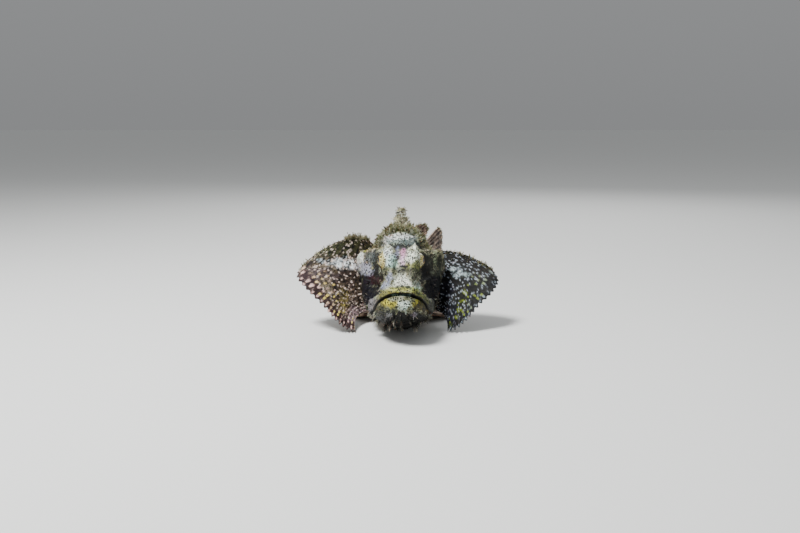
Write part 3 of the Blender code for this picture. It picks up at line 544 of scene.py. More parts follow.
def thinRear(piece):
    # the head keeps its fine mesh, the flanks and tail need less
    group = piece.vertex_groups.new(name="rear")
    s = coordinates(piece.data)[:, 1]
    for low, high, weight in ((0, 48, 0.0), (48, 58, 0.5), (58, 200, 1.0)):
        group.add(np.nonzero((s >= low) & (s < high))[0].tolist(), weight, "REPLACE")
    thin = piece.modifiers.new("thin", "DECIMATE")
    thin.ratio = skin["triangles"] / (2 * len(piece.data.polygons))
    thin.vertex_group = "rear"
    thin.vertex_group_factor = 10
    applyAll(piece)
    piece.vertex_groups.clear()
    return piece


body = skinForm()
print("skin form:", len(body.data.polygons), "faces")


# soft random patterns, worked out for many places at once

def hashed(cell, seed):
    h = cell[:, 0] * 374761393 + cell[:, 1] * 668265263 + cell[:, 2] * 1274126177 + seed * 144665
    h = (h ^ (h >> 13)) * 1103515245
    h = (h ^ (h >> 16)) & 0xffffff
    return h / 0xffffff


slant = np.array(Matrix.Rotation(0.9, 3, Vector((0.5, 0.3, 0.8))))  # turns the patterns' grid off the axes


def grain(places, size, seed=0):
    # lumps of light and dark of about a size, from 0 to 1
    at = places @ slant / size + seed * 7.31
    at += 0.4 * np.sin(2.1 * at[:, (1, 2, 0)] + seed)
    cell = np.floor(at).astype(np.int64)
    t = smoothArray(at - cell)
    total = np.zeros(len(places))
    for corner in np.ndindex(2, 2, 2):
        weight = np.prod(np.where(np.array(corner) == 1, t, 1 - t), 1)
        total += weight * hashed(cell + np.array(corner), seed)
    return total


def dots(places, size, seed=0, jitter=0.8, flat=False):
    # distance to the nearest of many scattered points, and a random number that goes with it
    at = places / size
    if flat:
        at[:, 2] = 0.5
    cell = np.floor(at).astype(np.int64)
    best, which = np.full(len(places), 9.0), np.zeros(len(places))
    for offset in np.ndindex(3, 3, 3):
        near = cell + np.array(offset) - 1
        scatter = np.stack([hashed(near, seed + k) for k in range(3)], 1) - 0.5
        if flat:
            scatter[:, 2] = 0
        away = np.linalg.norm(at - near - 0.5 - jitter * scatter, axis=1)
        closer = away < best
        best[closer] = away[closer]
        which[closer] = hashed(near, seed + 5)[closer]
    return best * size, which


def frontView(places):
    # across and up, as seen from in front and a little above, at the snout's distance
    away = 450 / (450 + places[:, 1])
    up = 0.988 * places[:, 2] + 0.156 * places[:, 1]
    return places[:, 0] * away, 39.2 + (up - 39.2) * away


def tint(colours, weight, hexColour):
    colours += (np.array(linear(hexColour)) - colours) * np.clip(weight, 0, 1)[:, None]


def patches(colours, places, table, seed):
    across, up = frontView(places)
    ragged = 1.1 * (grain(places, 2.4, seed) - 0.5) + 0.9 * (grain(places, 0.9, seed + 1) - 0.5)
    for atAcross, atUp, reachAcross, reachUp, near, far, hexColour, strength in table:
        away = np.hypot((across - atAcross) / reachAcross, (up - atUp) / reachUp) + ragged
        inside = (places[:, 1] > near) & (places[:, 1] < far)
        tint(colours, strength * smoothArray((1.4 - away) / 0.7) * inside, hexColour)


# markings of the head, with painted shade and shadow among them and the fish's left side darker partly as
# painted shade: across, up, reach across, reach up, nearest and furthest behind the snout
facePatches = (
    (0.0, 52.6, 6.6, 2.4, 36, 70, "#c3c8c6", 0.85),  # cap
    (-7.1, 50.4, 3.3, 2.6, 36, 70, "#b3b1b3", 0.7),  # cap, left
    (0.0, 49.8, 7.0, 1.6, 36, 70, "#727d78", 0.7),  # cap, lower part, darkened with painted shade
    (5.2, 49.4, 3.8, 2.4, 36, 70, "#5d6766", 0.8),  # cap, lower right, darkened with painted shade
    (0.0, 47.8, 8.4, 1.3, 28, 50, "#1f2426", 0.9),  # painted shadow in the fold under the cap
    (-10.5, 51.5, 2.4, 3.5, 44, 80, "#4b4d3e", 0.8),  # cap, left shoulder
    (10.5, 51.0, 2.4, 3.5, 44, 80, "#3d4036", 0.8),  # cap, right shoulder
    (0.0, 58.0, 9.5, 3.3, 46, 100, "#5c6040", 0.85),  # fringe
    (-1.7, 44.9, 1.3, 2.6, 8, 46, "#9a9fb4", 0.65),  # brow, lavender
    (1.0, 45.2, 1.9, 1.9, 8, 46, "#c698b4", 0.7),  # brow, pink
    (1.4, 41.4, 2.1, 2.4, 8, 46, "#cdb6c8", 0.65),  # brow, pale pink
    (-6.7, 43.7, 2.9, 3.8, 8, 40, "#d3d9d7", 0.85),  # eye dome, right side
    (-4.0, 40.6, 2.2, 2.8, 8, 40, "#a3bab4", 0.7),  # eye dome, mint
    (-9.0, 41.3, 1.2, 4.3, 6, 40, "#bfb582", 0.8),  # eye dome, yellow rim
    (6.2, 43.2, 3.3, 3.8, 8, 40, "#d2d6cb", 0.85),  # eye dome, left side
    (7.6, 38.4, 3.3, 2.6, 8, 40, "#777a54", 0.85),  # eye dome, olive foot
    (3.6, 38.4, 2.4, 1.6, 8, 40, "#82855a", 0.7),  # brow, olive
    (0.5, 37.1, 6.2, 1.4, 6, 40, "#55564b", 0.75),  # brow band, darkened partly with painted shade in the dip below the brow
    (0.7, 38.8, 1.9, 0.6, 6, 40, "#222326", 0.9),  # painted shade in the notch below the brow
    (-6.7, 36.4, 2.9, 1.9, 6, 40, "#74775f", 0.7),  # eye dome, lower right side
    (0.0, 33.2, 4.4, 2.2, 2, 36, "#bdc0b6", 0.8),  # waist
    (-5.4, 33.3, 1.6, 2.9, 0, 36, "#8b8fa8", 0.6),  # waist, lavender edge
    (5.6, 33.8, 2.2, 3.0, 0, 36, "#6a6c60", 0.75),  # waist, grey edge
    (1.0, 31.1, 5.2, 2.1, -4, 30, "#cfd1c8", 0.75),  # snout
    (-8.4, 30.4, 2.2, 1.8, -4, 26, "#a3a8b8", 0.75),  # snout, lavender shoulder
    (8.6, 30.2, 2.4, 1.8, -4, 26, "#96a09a", 0.7),  # snout, grey shoulder
    (0.3, 28.0, 5.2, 1.5, -4, 20, "#94955a", 0.8),  # snout, yellow
    (-1.6, 29.3, 0.9, 0.7, -4, 20, "#333b1c", 0.95),  # snout, dark spot
    (0.6, 29.5, 0.8, 0.7, -4, 20, "#333b1c", 0.95),  # snout, dark spot
    (3.2, 29.3, 1.0, 0.8, -4, 20, "#333b1c", 0.95),  # snout, dark spot
    (6.7, 27.6, 2.6, 1.6, -4, 20, "#88a293", 0.7),  # snout, teal
    (-3.4, 26.3, 2.4, 1.3, -4, 24, "#9b9a50", 0.8),  # upper lip
    (-6.6, 25.9, 2.8, 1.8, -4, 24, "#87855a", 0.85),  # upper lip
    (-9.6, 23.2, 2.4, 2.6, -4, 24, "#77754f", 0.85),  # upper lip
    (-11.0, 19.4, 1.7, 1.9, -4, 24, "#4f4c36", 0.75),  # upper lip corner
    (6.2, 26.9, 2.8, 1.7, -4, 24, "#86874e", 0.85),  # upper lip
    (9.5, 25.0, 2.7, 2.2, -4, 24, "#666b3c", 0.85),  # upper lip
    (12.1, 21.8, 2.1, 2.4, -4, 24, "#565a3a", 0.8),  # upper lip
    (13.3, 19.2, 1.4, 1.9, -4, 24, "#45432f", 0.75),  # upper lip corner
    (-13.0, 27.6, 2.2, 3.6, -4, 25, "#8a8c98", 0.8),  # jaw side
    (-14.2, 22.4, 2.6, 2.8, -4, 26, "#7d7a80", 0.75),  # jaw side, foot
    (14.2, 27.0, 2.2, 3.9, -4, 25, "#757a7e", 0.8),  # jaw side
    (15.0, 20.4, 2.4, 3.6, -4, 26, "#4a4c4c", 0.8),  # jaw side, foot
    (-4.5, 21.1, 3.6, 1.8, -4, 24, "#b4ae60", 0.9),  # lower lip, yellow
    (1.4, 20.6, 3.2, 2.4, -4, 24, "#d0dad3", 0.95),  # lower lip, white
    (7.6, 21.2, 2.4, 1.6, -4, 24, "#9b9646", 0.85),  # lower lip, yellow
    (10.3, 19.8, 3.4, 2.4, -4, 24, "#4f4a1e", 0.95),  # lower lip, olive
    (-9.3, 18.7, 1.9, 1.7, -4, 24, "#4c4c34", 0.8),  # lower lip corner
    (0.0, 9.0, 15.0, 4.2, -4, 44, "#15161a", 0.9),  # painted shade under the chin
    (-0.5, 14.2, 6.2, 3.3, -4, 36, "#08080b", 0.98),  # chin, painted shade below the lower lip
    (7.8, 14.2, 5.6, 3.6, -4, 36, "#08080b", 0.98),  # chin, painted shade below the lower lip
    (-8.0, 14.0, 5.2, 3.3, -4, 36, "#08080b", 0.98),  # chin, painted shade below the lower lip
    (-5.8, 15.9, 1.6, 1.0, -4, 36, "#9a9a9a", 0.7),  # chin, pale crumbs
    (6.2, 16.2, 1.2, 1.0, -4, 36, "#a6a0a6", 0.7),  # chin, pale crumbs
    (-15.6, 27.6, 6.4, 8.2, 24, 66, "#0d0a18", 1.0),  # cheek, its own dark ground deepened with painted shade
    (15.6, 28.6, 6.4, 8.6, 24, 66, "#0a0a16", 1.0),  # cheek, its own dark ground deepened with painted shade
    (-11.6, 35.4, 3.0, 4.0, 15, 50, "#08070a", 1.0),  # painted shadow in the gap beside the eye
    (11.6, 35.8, 3.0, 4.4, 15, 50, "#08070a", 1.0),  # painted shadow in the gap beside the eye
    (-12.8, 32.2, 3.2, 2.2, 15, 50, "#3a0f1c", 0.85),  # cheek, maroon, darkened with painted shade
    (-16.4, 27.0, 3.4, 5.0, 24, 66, "#1a1730", 0.6),  # cheek, violet painted shade
    (15.4, 27.6, 3.2, 4.4, 24, 66, "#15172c", 0.6),  # cheek, blue painted shade
    (-14.0, 19.0, 3.0, 3.6, 15, 29, "#7f7c80", 0.8),  # end of the jaw bone
    (14.6, 18.6, 3.0, 3.6, 15, 29, "#5a5c58", 0.8),  # end of the jaw bone
    (-11.9, 42.0, 1.5, 5.0, 34, 80, "#20211f", 0.85),  # painted shadow in the gap before the gill cover
    (11.6, 42.0, 1.5, 5.0, 34, 80, "#191a1a", 0.9),  # painted shadow in the gap before the gill cover
    (-19.0, 43.7, 1.6, 4.3, 40, 63, "#c9cbc6", 0.9),  # gill cover ridge
    (-16.7, 47.1, 1.7, 1.5, 40, 63, "#a9a657", 0.85),  # gill cover, yellow
    (-14.6, 42.6, 2.4, 3.8, 38, 63, "#5a5f60", 0.8),  # gill cover, grey
    (-17.1, 38.2, 3.4, 2.7, 36, 63, "#9d9da6", 0.85),  # gill cover foot
    (13.8, 41.4, 2.2, 4.8, 38, 63, "#2b2d28", 0.9),  # gill cover, left, darkened partly with painted shade
    (16.2, 43.6, 1.1, 3.8, 40, 63, "#9aa08c", 0.9),  # gill cover ridge, left, dimmed partly with painted shade
    (18.4, 41.0, 1.6, 4.3, 40, 63, "#34372f", 0.85),  # gill cover rear, left, darkened partly with painted shade
    (16.6, 36.8, 2.4, 2.0, 36, 63, "#55584f", 0.85),  # gill cover foot, left, darkened partly with painted shade
)


def skinColours(places):
    side, s, z = places.T
    count = len(places)
    broad, middle, fine = grain(places, 9, 3), grain(places, 3.2, 4), grain(places, 1.2, 5)
    colours = np.tile(linear("#7e7f6b"), (count, 1))
    tint(colours, smoothArray((middle - 0.5) * 4) * 0.8, "#a9a793")
    tint(colours, smoothArray((0.42 - middle) * 5) * 0.8, "#4c4638")
    tint(colours, smoothArray((broad - 0.56) * 5) * 0.6, "#8d6f68")
    tint(colours, smoothArray((fine - 0.62) * 6) * 0.7, "#c6bfae")
    # dark saddles over the back, ragged at their edges
    ragged = 7 * (middle - 0.5) + 5 * (broad - 0.5)
    for at, reach in ((73, 6), (99, 6.5), (124, 5), (147, 4)):
        saddle = smoothArray((reach - np.abs(s - at - 0.2 * (z - 30) + ragged)) / 3)
        tint(colours, 0.85 * saddle * smoothArray((z - 8) / 14), "#2a2320")
    tint(colours, smoothArray((grain(places, 5, 6) - 0.58) * 6) * 0.7 * (s > 56), "#5d3f3a")
    # cream blotches on the flank and a pale, pinkish belly
    away, which = dots(places, 7, 11)
    tint(colours, 0.8 * smoothArray((2.1 - away + 2 * (fine - 0.5)) / 0.8) * (which > 0.62) * (s > 58),
         "#cdc6b0")
    tint(colours, 0.7 * smoothArray((1.5 - away + 1.4 * (middle - 0.5)) / 0.8) * (which < 0.25) * (s > 62),
         "#8f8b3f")
    belly = smoothArray((9 - z + 5 * (middle - 0.5)) / 6)
    tint(colours, belly * 0.75, "#b9a79c")
    # the head is paler and greener
    head = smoothArray((50 - s) / 8)
    tint(colours, head * 0.8, "#8f9180")
    tint(colours, head * smoothArray((middle - 0.5) * 4) * 0.55, "#b9bbb0")
    tint(colours, head * smoothArray((0.42 - middle) * 5) * 0.65, "#5a5c47")
    patches(colours, places, facePatches, 21)
    # dark inside of the mouth, with the pale grey valve in the middle
    gap = mouth["front"] - mouth["slope"] * s + mouth["opening"] * 0.4
    inside = smoothArray((1.0 - np.abs(z - gap)) / 0.3) * (s < mouth["corner"] + 1.5)
    tint(colours, inside * 0.97, "#0d0808")
    tint(colours, inside * smoothArray((5.4 - np.abs(side)) / 1.6) * (s > 1.0) * 0.9, "#7f908e")
    # larger dark freckles among the fine dots of the shader
    away, which = dots(places, 1.9, 9, 0.95)
    away += 0.5 * (grain(places, 0.6, 10) - 0.5)
    freckle = smoothArray((0.28 + 0.34 * which - away) / 0.2) * (which > 0.3)
    tint(colours, freckle * 0.9 * (0.35 + 0.65 * head), "#12110f")
    colours *= (0.72 + 0.56 * grain(places, 0.8, 8))[:, None]
    return colours


def roundSection(places):
    # angle round the body from the middle of the back, signed by side
    s = np.clip(places[:, 1], 0, bodyShape["length"])
    top, bottom, widest = (np.interp(s, samplePlaces, samples[k]) for k in ("top", "bottom", "widest"))
    z = places[:, 2]
    reach = np.where(z > widest, top - widest, widest - bottom)
    return np.arccos(np.clip((z - widest) / np.maximum(reach, 1), -1, 1)) * np.sign(places[:, 0])


def skinMap(places):
    # the skin's own unwrap: along the body and round it
    s = np.clip(places[:, 1], -2, 152)
    half = np.interp(s, samplePlaces, samples["half"])
    return np.stack((0.03 + s / 165, 0.5 + roundSection(places) * (half + 8) / 175), 1)


depth = {"fuller": 1.15, "middle": 0.5, "steepness": 1.42, "light": 0.51}


def richer(colours):
    # deeper darks and fuller tints, since the studio's soft light greys them
    grey = colours.mean(1, keepdims=True)
    full = np.clip(grey + (colours - grey) * depth["fuller"], 0.0004, 1)
    return depth["light"] * (full / depth["middle"]) ** depth["steepness"]


def setColours(piece, colours, marks):
    count = len(piece.data.vertices)
    colours = richer(colours)
    for name, values in (("tone", colours), ("marks", marks)):
        attribute = piece.data.color_attributes.new(name, "FLOAT_COLOR", "POINT")
        filled = np.ones((count, 4), np.float32)
        filled[:, :3] = np.clip(values, 0, 1)
        attribute.data.foreach_set("color", filled.ravel())


patchSize = 0.0011  # a scale's or tuft's share of the map, for each unit of its own shape


def setMap(piece, name, perVertex):
    layer = piece.data.uv_layers.new(name=name)
    corners = np.zeros(len(piece.data.loops), np.int32)
    piece.data.loops.foreach_get("vertex_index", corners)
    layer.data.foreach_set("uv", perVertex[corners].astype(np.float32).ravel())


def normalsOf(mesh):
    flat = np.zeros(len(mesh.vertices) * 3, np.float32)
    mesh.vertex_normals.foreach_get("vector", flat)
    return flat.reshape(-1, 3).astype(float)


# materials

def node(tree, kind, settings=None, links=None):
    made = tree.nodes.new(kind)
    for name, value in (settings or {}).items():
        if isinstance(name, int):
            made.inputs[name].default_value = value
        else:
            setattr(made, name, value)
    for name, source in (links or {}).items():
        tree.links.new(source, made.inputs[name])
    return made


def perMetre(size):
    # how often a pattern of a size in millimetres repeats in a metre
    return 1000 / size


def attribute(tree, name):
    return node(tree, "ShaderNodeAttribute", {"attribute_name": name})


def fishMaterial(name, roughness, coat, dotSize, dotWidth, bumpDepth):
    # living skin: tone and marks come from the mesh, fine dots and grain from here
    made = bpy.data.materials.new(name)
    made.use_nodes = True
    tree = made.node_tree
    shader = tree.nodes["Principled BSDF"]
    shader.inputs["Roughness"].default_value = roughness
    shader.inputs["Specular IOR Level"].default_value = 0.22
    shader.inputs["Coat Weight"].default_value = coat
    shader.inputs["Coat Roughness"].default_value = 0.28
    shader.inputs["Subsurface Weight"].default_value = 0.06
    shader.inputs["Subsurface Scale"].default_value = 0.0012
    place = node(tree, "ShaderNodeTexCoord").outputs["Object"]
    tone, marks = attribute(tree, "tone"), attribute(tree, "marks")
    split = node(tree, "ShaderNodeSeparateColor", links={0: marks.outputs["Color"]})
    wander = node(tree, "ShaderNodeTexNoise", {2: perMetre(1.6), 3: 2.0}, {0: place})
    shifted = node(tree, "ShaderNodeVectorMath", {"operation": "SCALE", 3: 0.0005},
                   {0: wander.outputs["Color"]})
    loose = node(tree, "ShaderNodeVectorMath", {"operation": "ADD"}, {0: place, 1: shifted.outputs[0]})
    spots = node(tree, "ShaderNodeTexVoronoi", {2: perMetre(dotSize)}, {0: loose.outputs[0]})
    grains = node(tree, "ShaderNodeTexNoise", {2: perMetre(0.35), 3: 4.0, 4: 0.6}, {0: place})
    # a dot where the nearest point is close, wider where the mark is stronger
    width = node(tree, "ShaderNodeMath", {"operation": "MULTIPLY", 1: dotWidth}, {0: split.outputs[0]})
    inside = node(tree, "ShaderNodeMath", {"operation": "SUBTRACT"},
                  {0: width.outputs[0], 1: spots.outputs["Distance"]})
    crisp = node(tree, "ShaderNodeMath", {"operation": "MULTIPLY", "use_clamp": True, 1: 12.0},
                 {0: inside.outputs[0]})
    speck = node(tree, "ShaderNodeMapRange", {1: 0.30, 2: 0.70, 3: 0.72, 4: 1.25}, {0: grains.outputs[0]})
    mottled = node(tree, "ShaderNodeVectorMath", {"operation": "SCALE"},
                   {0: tone.outputs["Color"], 3: speck.outputs[0]})
    dotted = node(tree, "ShaderNodeMix", {"data_type": "RGBA", 7: (*linear("#16150f"), 1)},
                  {0: crisp.outputs[0], 6: mottled.outputs[0]})
    tree.links.new(dotted.outputs[2], shader.inputs["Base Color"])
    # relief: fine grain, and scales where the mark asks for them
    plates = node(tree, "ShaderNodeTexVoronoi", {2: perMetre(1.5)}, {0: place})
    scaled = node(tree, "ShaderNodeMath", {"operation": "MULTIPLY"},
                  {0: plates.outputs["Distance"], 1: split.outputs[1]})
    height = node(tree, "ShaderNodeMath", {"operation": "MULTIPLY_ADD", 1: 0.55},
                  {0: grains.outputs[0], 2: scaled.outputs[0]})
    raised = node(tree, "ShaderNodeBump", {0: 0.75, 1: bumpDepth * mm}, {"Height": height.outputs[0]})
    tree.links.new(raised.outputs[0], shader.inputs["Normal"])
    return made


skinLook = fishMaterial("fishSkin", 0.6, 0.05, 0.95, 0.54, 0.26)  # slightly slimy skin
finLook = fishMaterial("finWeb", 0.74, 0.0, 1.0, 0.5, 0.16)  # thin web over bony rays
flapLook = fishMaterial("softFlaps", 0.64, 0.04, 0.8, 0.40, 0.08)  # fleshy flaps and threads


def finish(piece, look, nodes):
    piece.data.materials.clear()
    piece.data.materials.append(look)
    piece.data.shade_smooth()
    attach(piece, "root")
    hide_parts(*nodes)


def dress(piece, colours, dotShare, look, nodes):
    # colours with an even share of fine dots, then bent into the frame and tied to its nodes
    marks = np.zeros((len(piece.data.vertices), 3))
    marks[:, 0] = dotShare
    setColours(piece, colours, marks)
    intoFrame(piece)
    finish(piece, look, nodes)


# skin: relief, colours, then into the frame

def carveRelief(piece):
    places, normals = coordinates(piece.data), normalsOf(piece.data)
    side, s, z = places.T
    lift = skin["lumpLift"] * (grain(places, 4.5, 31) - 0.5) * 1.6
    lift += skin["lumpLift"] * (grain(places, 2.0, 32) - 0.5)
    lift += skin["grainLift"] * (grain(places, 1.0, 33) - 0.5)
    away, which = dots(places, 2.4, 34)
    lift += skin["wartLift"] * smoothArray((0.9 - away) / 0.6) * (which > 0.45)
    # smooth lips, and sockets that stay clear of the eyes
    line = np.abs(z - (mouth["front"] - mouth["slope"] * s))
    calm = smoothArray((line - 1.0) / 3) * 0.85 + 0.15
    calm = np.where(s > mouth["corner"] + 3, 1, calm)
    for way in (-1, 1):
        fromEye = np.linalg.norm(places - np.array(mirrored(eyes["centre"], way)), axis=1)
        calm *= smoothArray((fromEye - eyes["radius"] - 0.3) / 1.2)
    places += normals * (lift * calm)[:, None]
    places[:, 2] = np.maximum(places[:, 2], 0.06)
    setCoordinates(piece.data, places)


carveRelief(body)
places = coordinates(body.data)
marks = np.zeros((len(places), 3))
headShare = smoothArray((56 - places[:, 1]) / 8)
marks[:, 0] = 0.85 * headShare + (1 - headShare) * 0.6 * smoothArray((grain(places, 5, 41) - 0.35) * 4)
marks[:, 1] = 1 - headShare
setColours(body, skinColours(places), marks)
skinTree = BVHTree.FromPolygons(places.tolist(), [tuple(p.vertices) for p in body.data.polygons])
intoFrame(body)
finish(body, skinLook, ["head", "lower_jaw", "torso", "tail", "gill_cover_left", "gill_cover_right"])
print("skin:", len(body.data.polygons), "faces")


# scales: small lapped plates in offset rows over the flanks, set on the finished skin
scales = {"length": 2.7, "width": 2.25, "alongStep": 1.85, "roundStep": 1.95, "thick": 0.4,
          # half an outline: share along, share across, lift
          "outline": ((-0.5, 0.26, -0.22), (-0.2, 0.47, -0.04), (0.12, 0.5, 0.08), (0.36, 0.36, 0.15),
                      (0.5, 0.13, 0.18))}


def girth(s):
    # angles round one side of the body with the length of skin up to each
    angles = np.radians(np.linspace(5, 176, 60))
    points = np.array([tuple(bodyPoint(s, angle)) for angle in angles])
    return angles, np.concatenate(([0], np.cumsum(np.linalg.norm(np.diff(points, axis=0), axis=1))))


def scalePlaces():
    # middle, way to the tail, way round and outward way of each scale
    made = []
    for row, start in enumerate(np.arange(47.5, 156.5, scales["alongStep"])):
        angles, lengths = girth(start)
        size = mix(1.0, 0.72, smooth((start - 90) / 50))
        for side in (-1, 1):
            for at in np.arange(0.8 + (row % 2) * scales["roundStep"] * size / 2, lengths[-1],
                                scales["roundStep"] * size):
                angle = float(np.interp(at, lengths, angles))
                # the rows slant, furthest back at the flank's middle
                s = start + 5 * math.cos(angle * 2) + vary(-0.25, 0.25)
                point = bodyPoint(s, angle + vary(-0.012, 0.012), side)
                beside = 7 < point.z < 42 and s < 63.5
                if beside or not 57.2 < s < 148.6:
                    continue
                place, normal, _, away = skinTree.find_nearest(point)
                if away > 1.6 or place.z < 1.1:
                    continue
                outward = (normal + bodyNormal(s, angle, side) * 1.5).normalized()
                tailward = (bodyPoint(s + 1, angle, side) - bodyPoint(s - 1, angle, side)).normalized()
                tailward = (tailward - outward * tailward.dot(outward)).normalized()
                tailward = Matrix.Rotation(vary(-0.16, 0.16), 3, outward) @ tailward
                made.append((place, tailward, outward.cross(tailward), outward, size * vary(0.86, 1.14)))
    return made


def scaleCoat():
    found = scalePlaces()
    middle, tailward, around, outward = (np.array([tuple(f[k]) for f in found]) for k in range(4))
    size = np.array([f[4] for f in found])[:, None, None]
    half = scales["outline"]
    outline = np.array(half + tuple((a, -b, c) for a, b, c in reversed(half)))
    rim = len(outline)
    shape = np.concatenate((outline, outline - (0, 0, scales["thick"]), ((0.02, 0, 0.17), (0.02, 0, -0.3))))
    shape = shape * (scales["length"], scales["width"], 1)
    frames = np.stack((tailward, around, outward), 1)
    points = middle[:, None, :] + np.einsum("vk,nkc->nvc", shape, frames) * size
    each = len(shape)
    faces = []
    for k in range(rim):
        after = (k + 1) % rim
        faces += [(2 * rim, after, k), (2 * rim + 1, rim + k, rim + after), (k, after, rim + after),
                  (k, rim + after, rim + k)]
    faces = (np.array(faces)[None] + each * np.arange(len(found))[:, None, None]).reshape(-1, 3)
    piece = meshPiece("scales", points.reshape(-1, 3).tolist(), faces.tolist())
    # each scale takes the skin's colour where it sits, with a pale rear edge and a dark root
    owner = np.repeat(np.arange(len(found)), each)
    colours = 0.35 * skinColours(middle)[owner] + 0.65 * skinColours(points.reshape(-1, 3))
    share = np.tile(shape[:, 0] / scales["length"], len(found))
    luck = hashed(np.stack((owner, owner, owner), 1), 17)
    colours *= (0.86 + 0.24 * luck)[:, None]
    tint(colours, smoothArray((share - 0.15) / 0.3) * 0.22 * luck, "#d6cfba")
    tint(colours, smoothArray((0.05 - share) / 0.4) * 0.6, "#1d1916")
    spread = np.tile(shape[:, :2] * patchSize, (len(found), 1))
    setMap(piece, "OFBake", skinMap(middle)[owner] + spread)
    dress(piece, colours, 0.5, skinLook, ["torso", "tail"])
    print("scales:", len(found))


scaleCoat()


# eyes: a globe that bulges at the cornea, with iris and pupil as colours on it

def eyeBall(side):
    centre, look = mirrored(eyes["centre"], side), lookWay(side)
    bpy.ops.mesh.primitive_uv_sphere_add(segments=96, ring_count=64, radius=eyes["radius"])
    piece = newest("eye" + sideWord(side).title())
    pupil, iris = 1.75, 3.9
    local = coordinates(piece.data)
    across = np.hypot(local[:, 0] / 1.18, local[:, 1])
    front = local[:, 2] > 0
    # the cornea bulges a little, and the pupil is a shallow dish under it
    bulge = 0.42 * smoothArray((iris - across) / 1.4) - 0.25 * smoothArray((pupil - across) / 0.25)
    local[:, 2] += np.where(front, bulge, 0)
    turn = np.arctan2(local[:, 1], local[:, 0])
    colours = np.tile(linear("#8b9a86"), (len(local), 1))
    rays = np.stack((np.cos(turn) * 3, np.sin(turn) * 3, across * 0.35), 1)
    streaks = grain(rays, 0.42, 3)
    tint(colours, front * smoothArray((iris - across) / 0.3), "#9c9876")
    tint(colours, front * smoothArray((iris - across) / 0.3) * smoothArray((streaks - 0.5) * 5), "#5a5230")
    tint(colours, front * smoothArray((iris - across) / 0.3) * smoothArray((0.34 - streaks) * 6), "#cfc9a4")
    tint(colours, front * smoothArray((across - 3.1) / 0.5) * smoothArray((4.3 - across) / 0.3), "#a39663")
    tint(colours, front * smoothArray((pupil + 0.35 - across) / 0.2), "#cdbb80")
    tint(colours, front * smoothArray((pupil - across) / 0.12), "#050506")
    setCoordinates(piece.data, local)
    piece.data.transform(aimed(centre, look))
    dress(piece, colours, 0.55 * (across > pupil + 0.6), eyeLook, ["eye_" + sideWord(side)])


eyeLook = fishMaterial("wetEye", 0.12, 1.0, 0.7, 0.3, 0.02)  # a glossy coat over the coloured iris
eyeLook.node_tree.nodes["Principled BSDF"].inputs["Coat Roughness"].default_value = 0.04
for side in (-1, 1):
    eyeBall(side)
print("eyes")


# fins: a web between bony rays, both faces, closed at the rim

def alongRay(ray, t):
    root, knee, tip = ray
    return root * (1 - t) ** 2 + knee * (2 * t * (1 - t)) + tip * t * t


def finSheet(name, columns, rows):
    # columns run from root to tip and each has root, knee, tip, reach, thick and ridge
    count = len(columns)
    v = np.linspace(0, 1, rows + 1)[None, :, None]
    root, knee, tip = (np.array([tuple(c[k]) for c in columns])[:, None, :] for k in ("root", "knee", "tip"))
    reach = np.array([c["reach"] for c in columns])[:, None, None]
    t = v * reach
    places = alongRay((root, knee, tip), t)
    normal = np.cross(np.gradient(places, axis=0), np.gradient(places, axis=1))
    normal /= np.maximum(np.linalg.norm(normal, axis=2, keepdims=True), 1e-9)
    thick = np.array([c["thick"] for c in columns])
    ridge = np.array([c["ridge"] for c in columns])[:, None]
    half = (thick[:, :1] + (thick[:, 1:] - thick[:, :1]) * v[0, :, 0][None, :]) / 2
    joint = 1 + 0.07 * ridge * np.sin(v[0, :, 0][None, :] * 95)
    rimmed = 0.35 + 0.65 * smoothArray((1 - v[0, :, 0]) * 14)[None, :]
    half = np.maximum(half * joint * rimmed, 0.1)
    front, back = places + normal * half[..., None], places - normal * half[..., None]
    each = count * (rows + 1)
    points = np.concatenate((front.reshape(-1, 3), back.reshape(-1, 3)))
    points[:, 2] = np.maximum(points[:, 2], 0.05)
    index = np.arange(each).reshape(count, rows + 1)
    a, b, c, d = index[:-1, :-1], index[1:, :-1], index[1:, 1:], index[:-1, 1:]
    faces = np.stack((a, b, c, d), -1).reshape(-1, 4)
    faces = np.concatenate((faces, np.stack((d, c, b, a), -1).reshape(-1, 4) + each))
    rim = np.concatenate((index[:, 0], index[-1, 1:], index[-2::-1, -1], index[0, -2:0:-1]))
    after = np.roll(rim, -1)
    faces = np.concatenate((faces, np.stack((after, rim, rim + each, after + each), -1)))
    piece = meshPiece(name, points.tolist(), faces.tolist())
    # for each vertex: ray number, share of the way to the next ray, millimetres from root and from rim
    steps = np.linalg.norm(np.diff(places, axis=1), axis=2)
    along = np.concatenate((np.zeros((count, 1)), np.cumsum(steps, axis=1)), 1)
    rays = np.array([c["ray"] for c in columns])[:, None] * np.ones((1, rows + 1))
    rayStep = max(columns[1]["ray"] - columns[0]["ray"], 1e-6)
    apart = np.linalg.norm(np.gradient(places, axis=0), axis=2) / rayStep
    facts = {"ray": rays, "apart": apart, "along": along, "rim": along[:, -1:] - along,
             "ridge": ridge * np.ones((1, rows + 1)), "v": v[0, :, 0][None, :] * np.ones((count, 1))}
    return piece, {key: np.tile(value.ravel(), 2) for key, value in facts.items()}


def rayedColumns(count, place, rayThick, webThick, notch):
    columns, between = [], fin["between"]
    total = between * (count - 1)
    for i in range(total + 1):
        u = i / total
        near = 0.5 + 0.5 * math.cos(2 * math.pi * i / between)
        ridge = near ** 2.2
        root, knee, tip = place(u)
        wave = fin["ripple"] * (noise.noise(Vector((i * 0.19, count, 0.5))) - 0.2)
        ray, web = rayThick(u), webThick
        columns.append({"root": root, "knee": knee, "tip": tip, "ray": i / between, "ridge": ridge,
                        "reach": 1 - notch(u) * (1 - near) - max(wave, 0) * (1 - near),
                        "thick": [mix(web[k], ray[k], ridge) for k in (0, 1)]})
    return columns


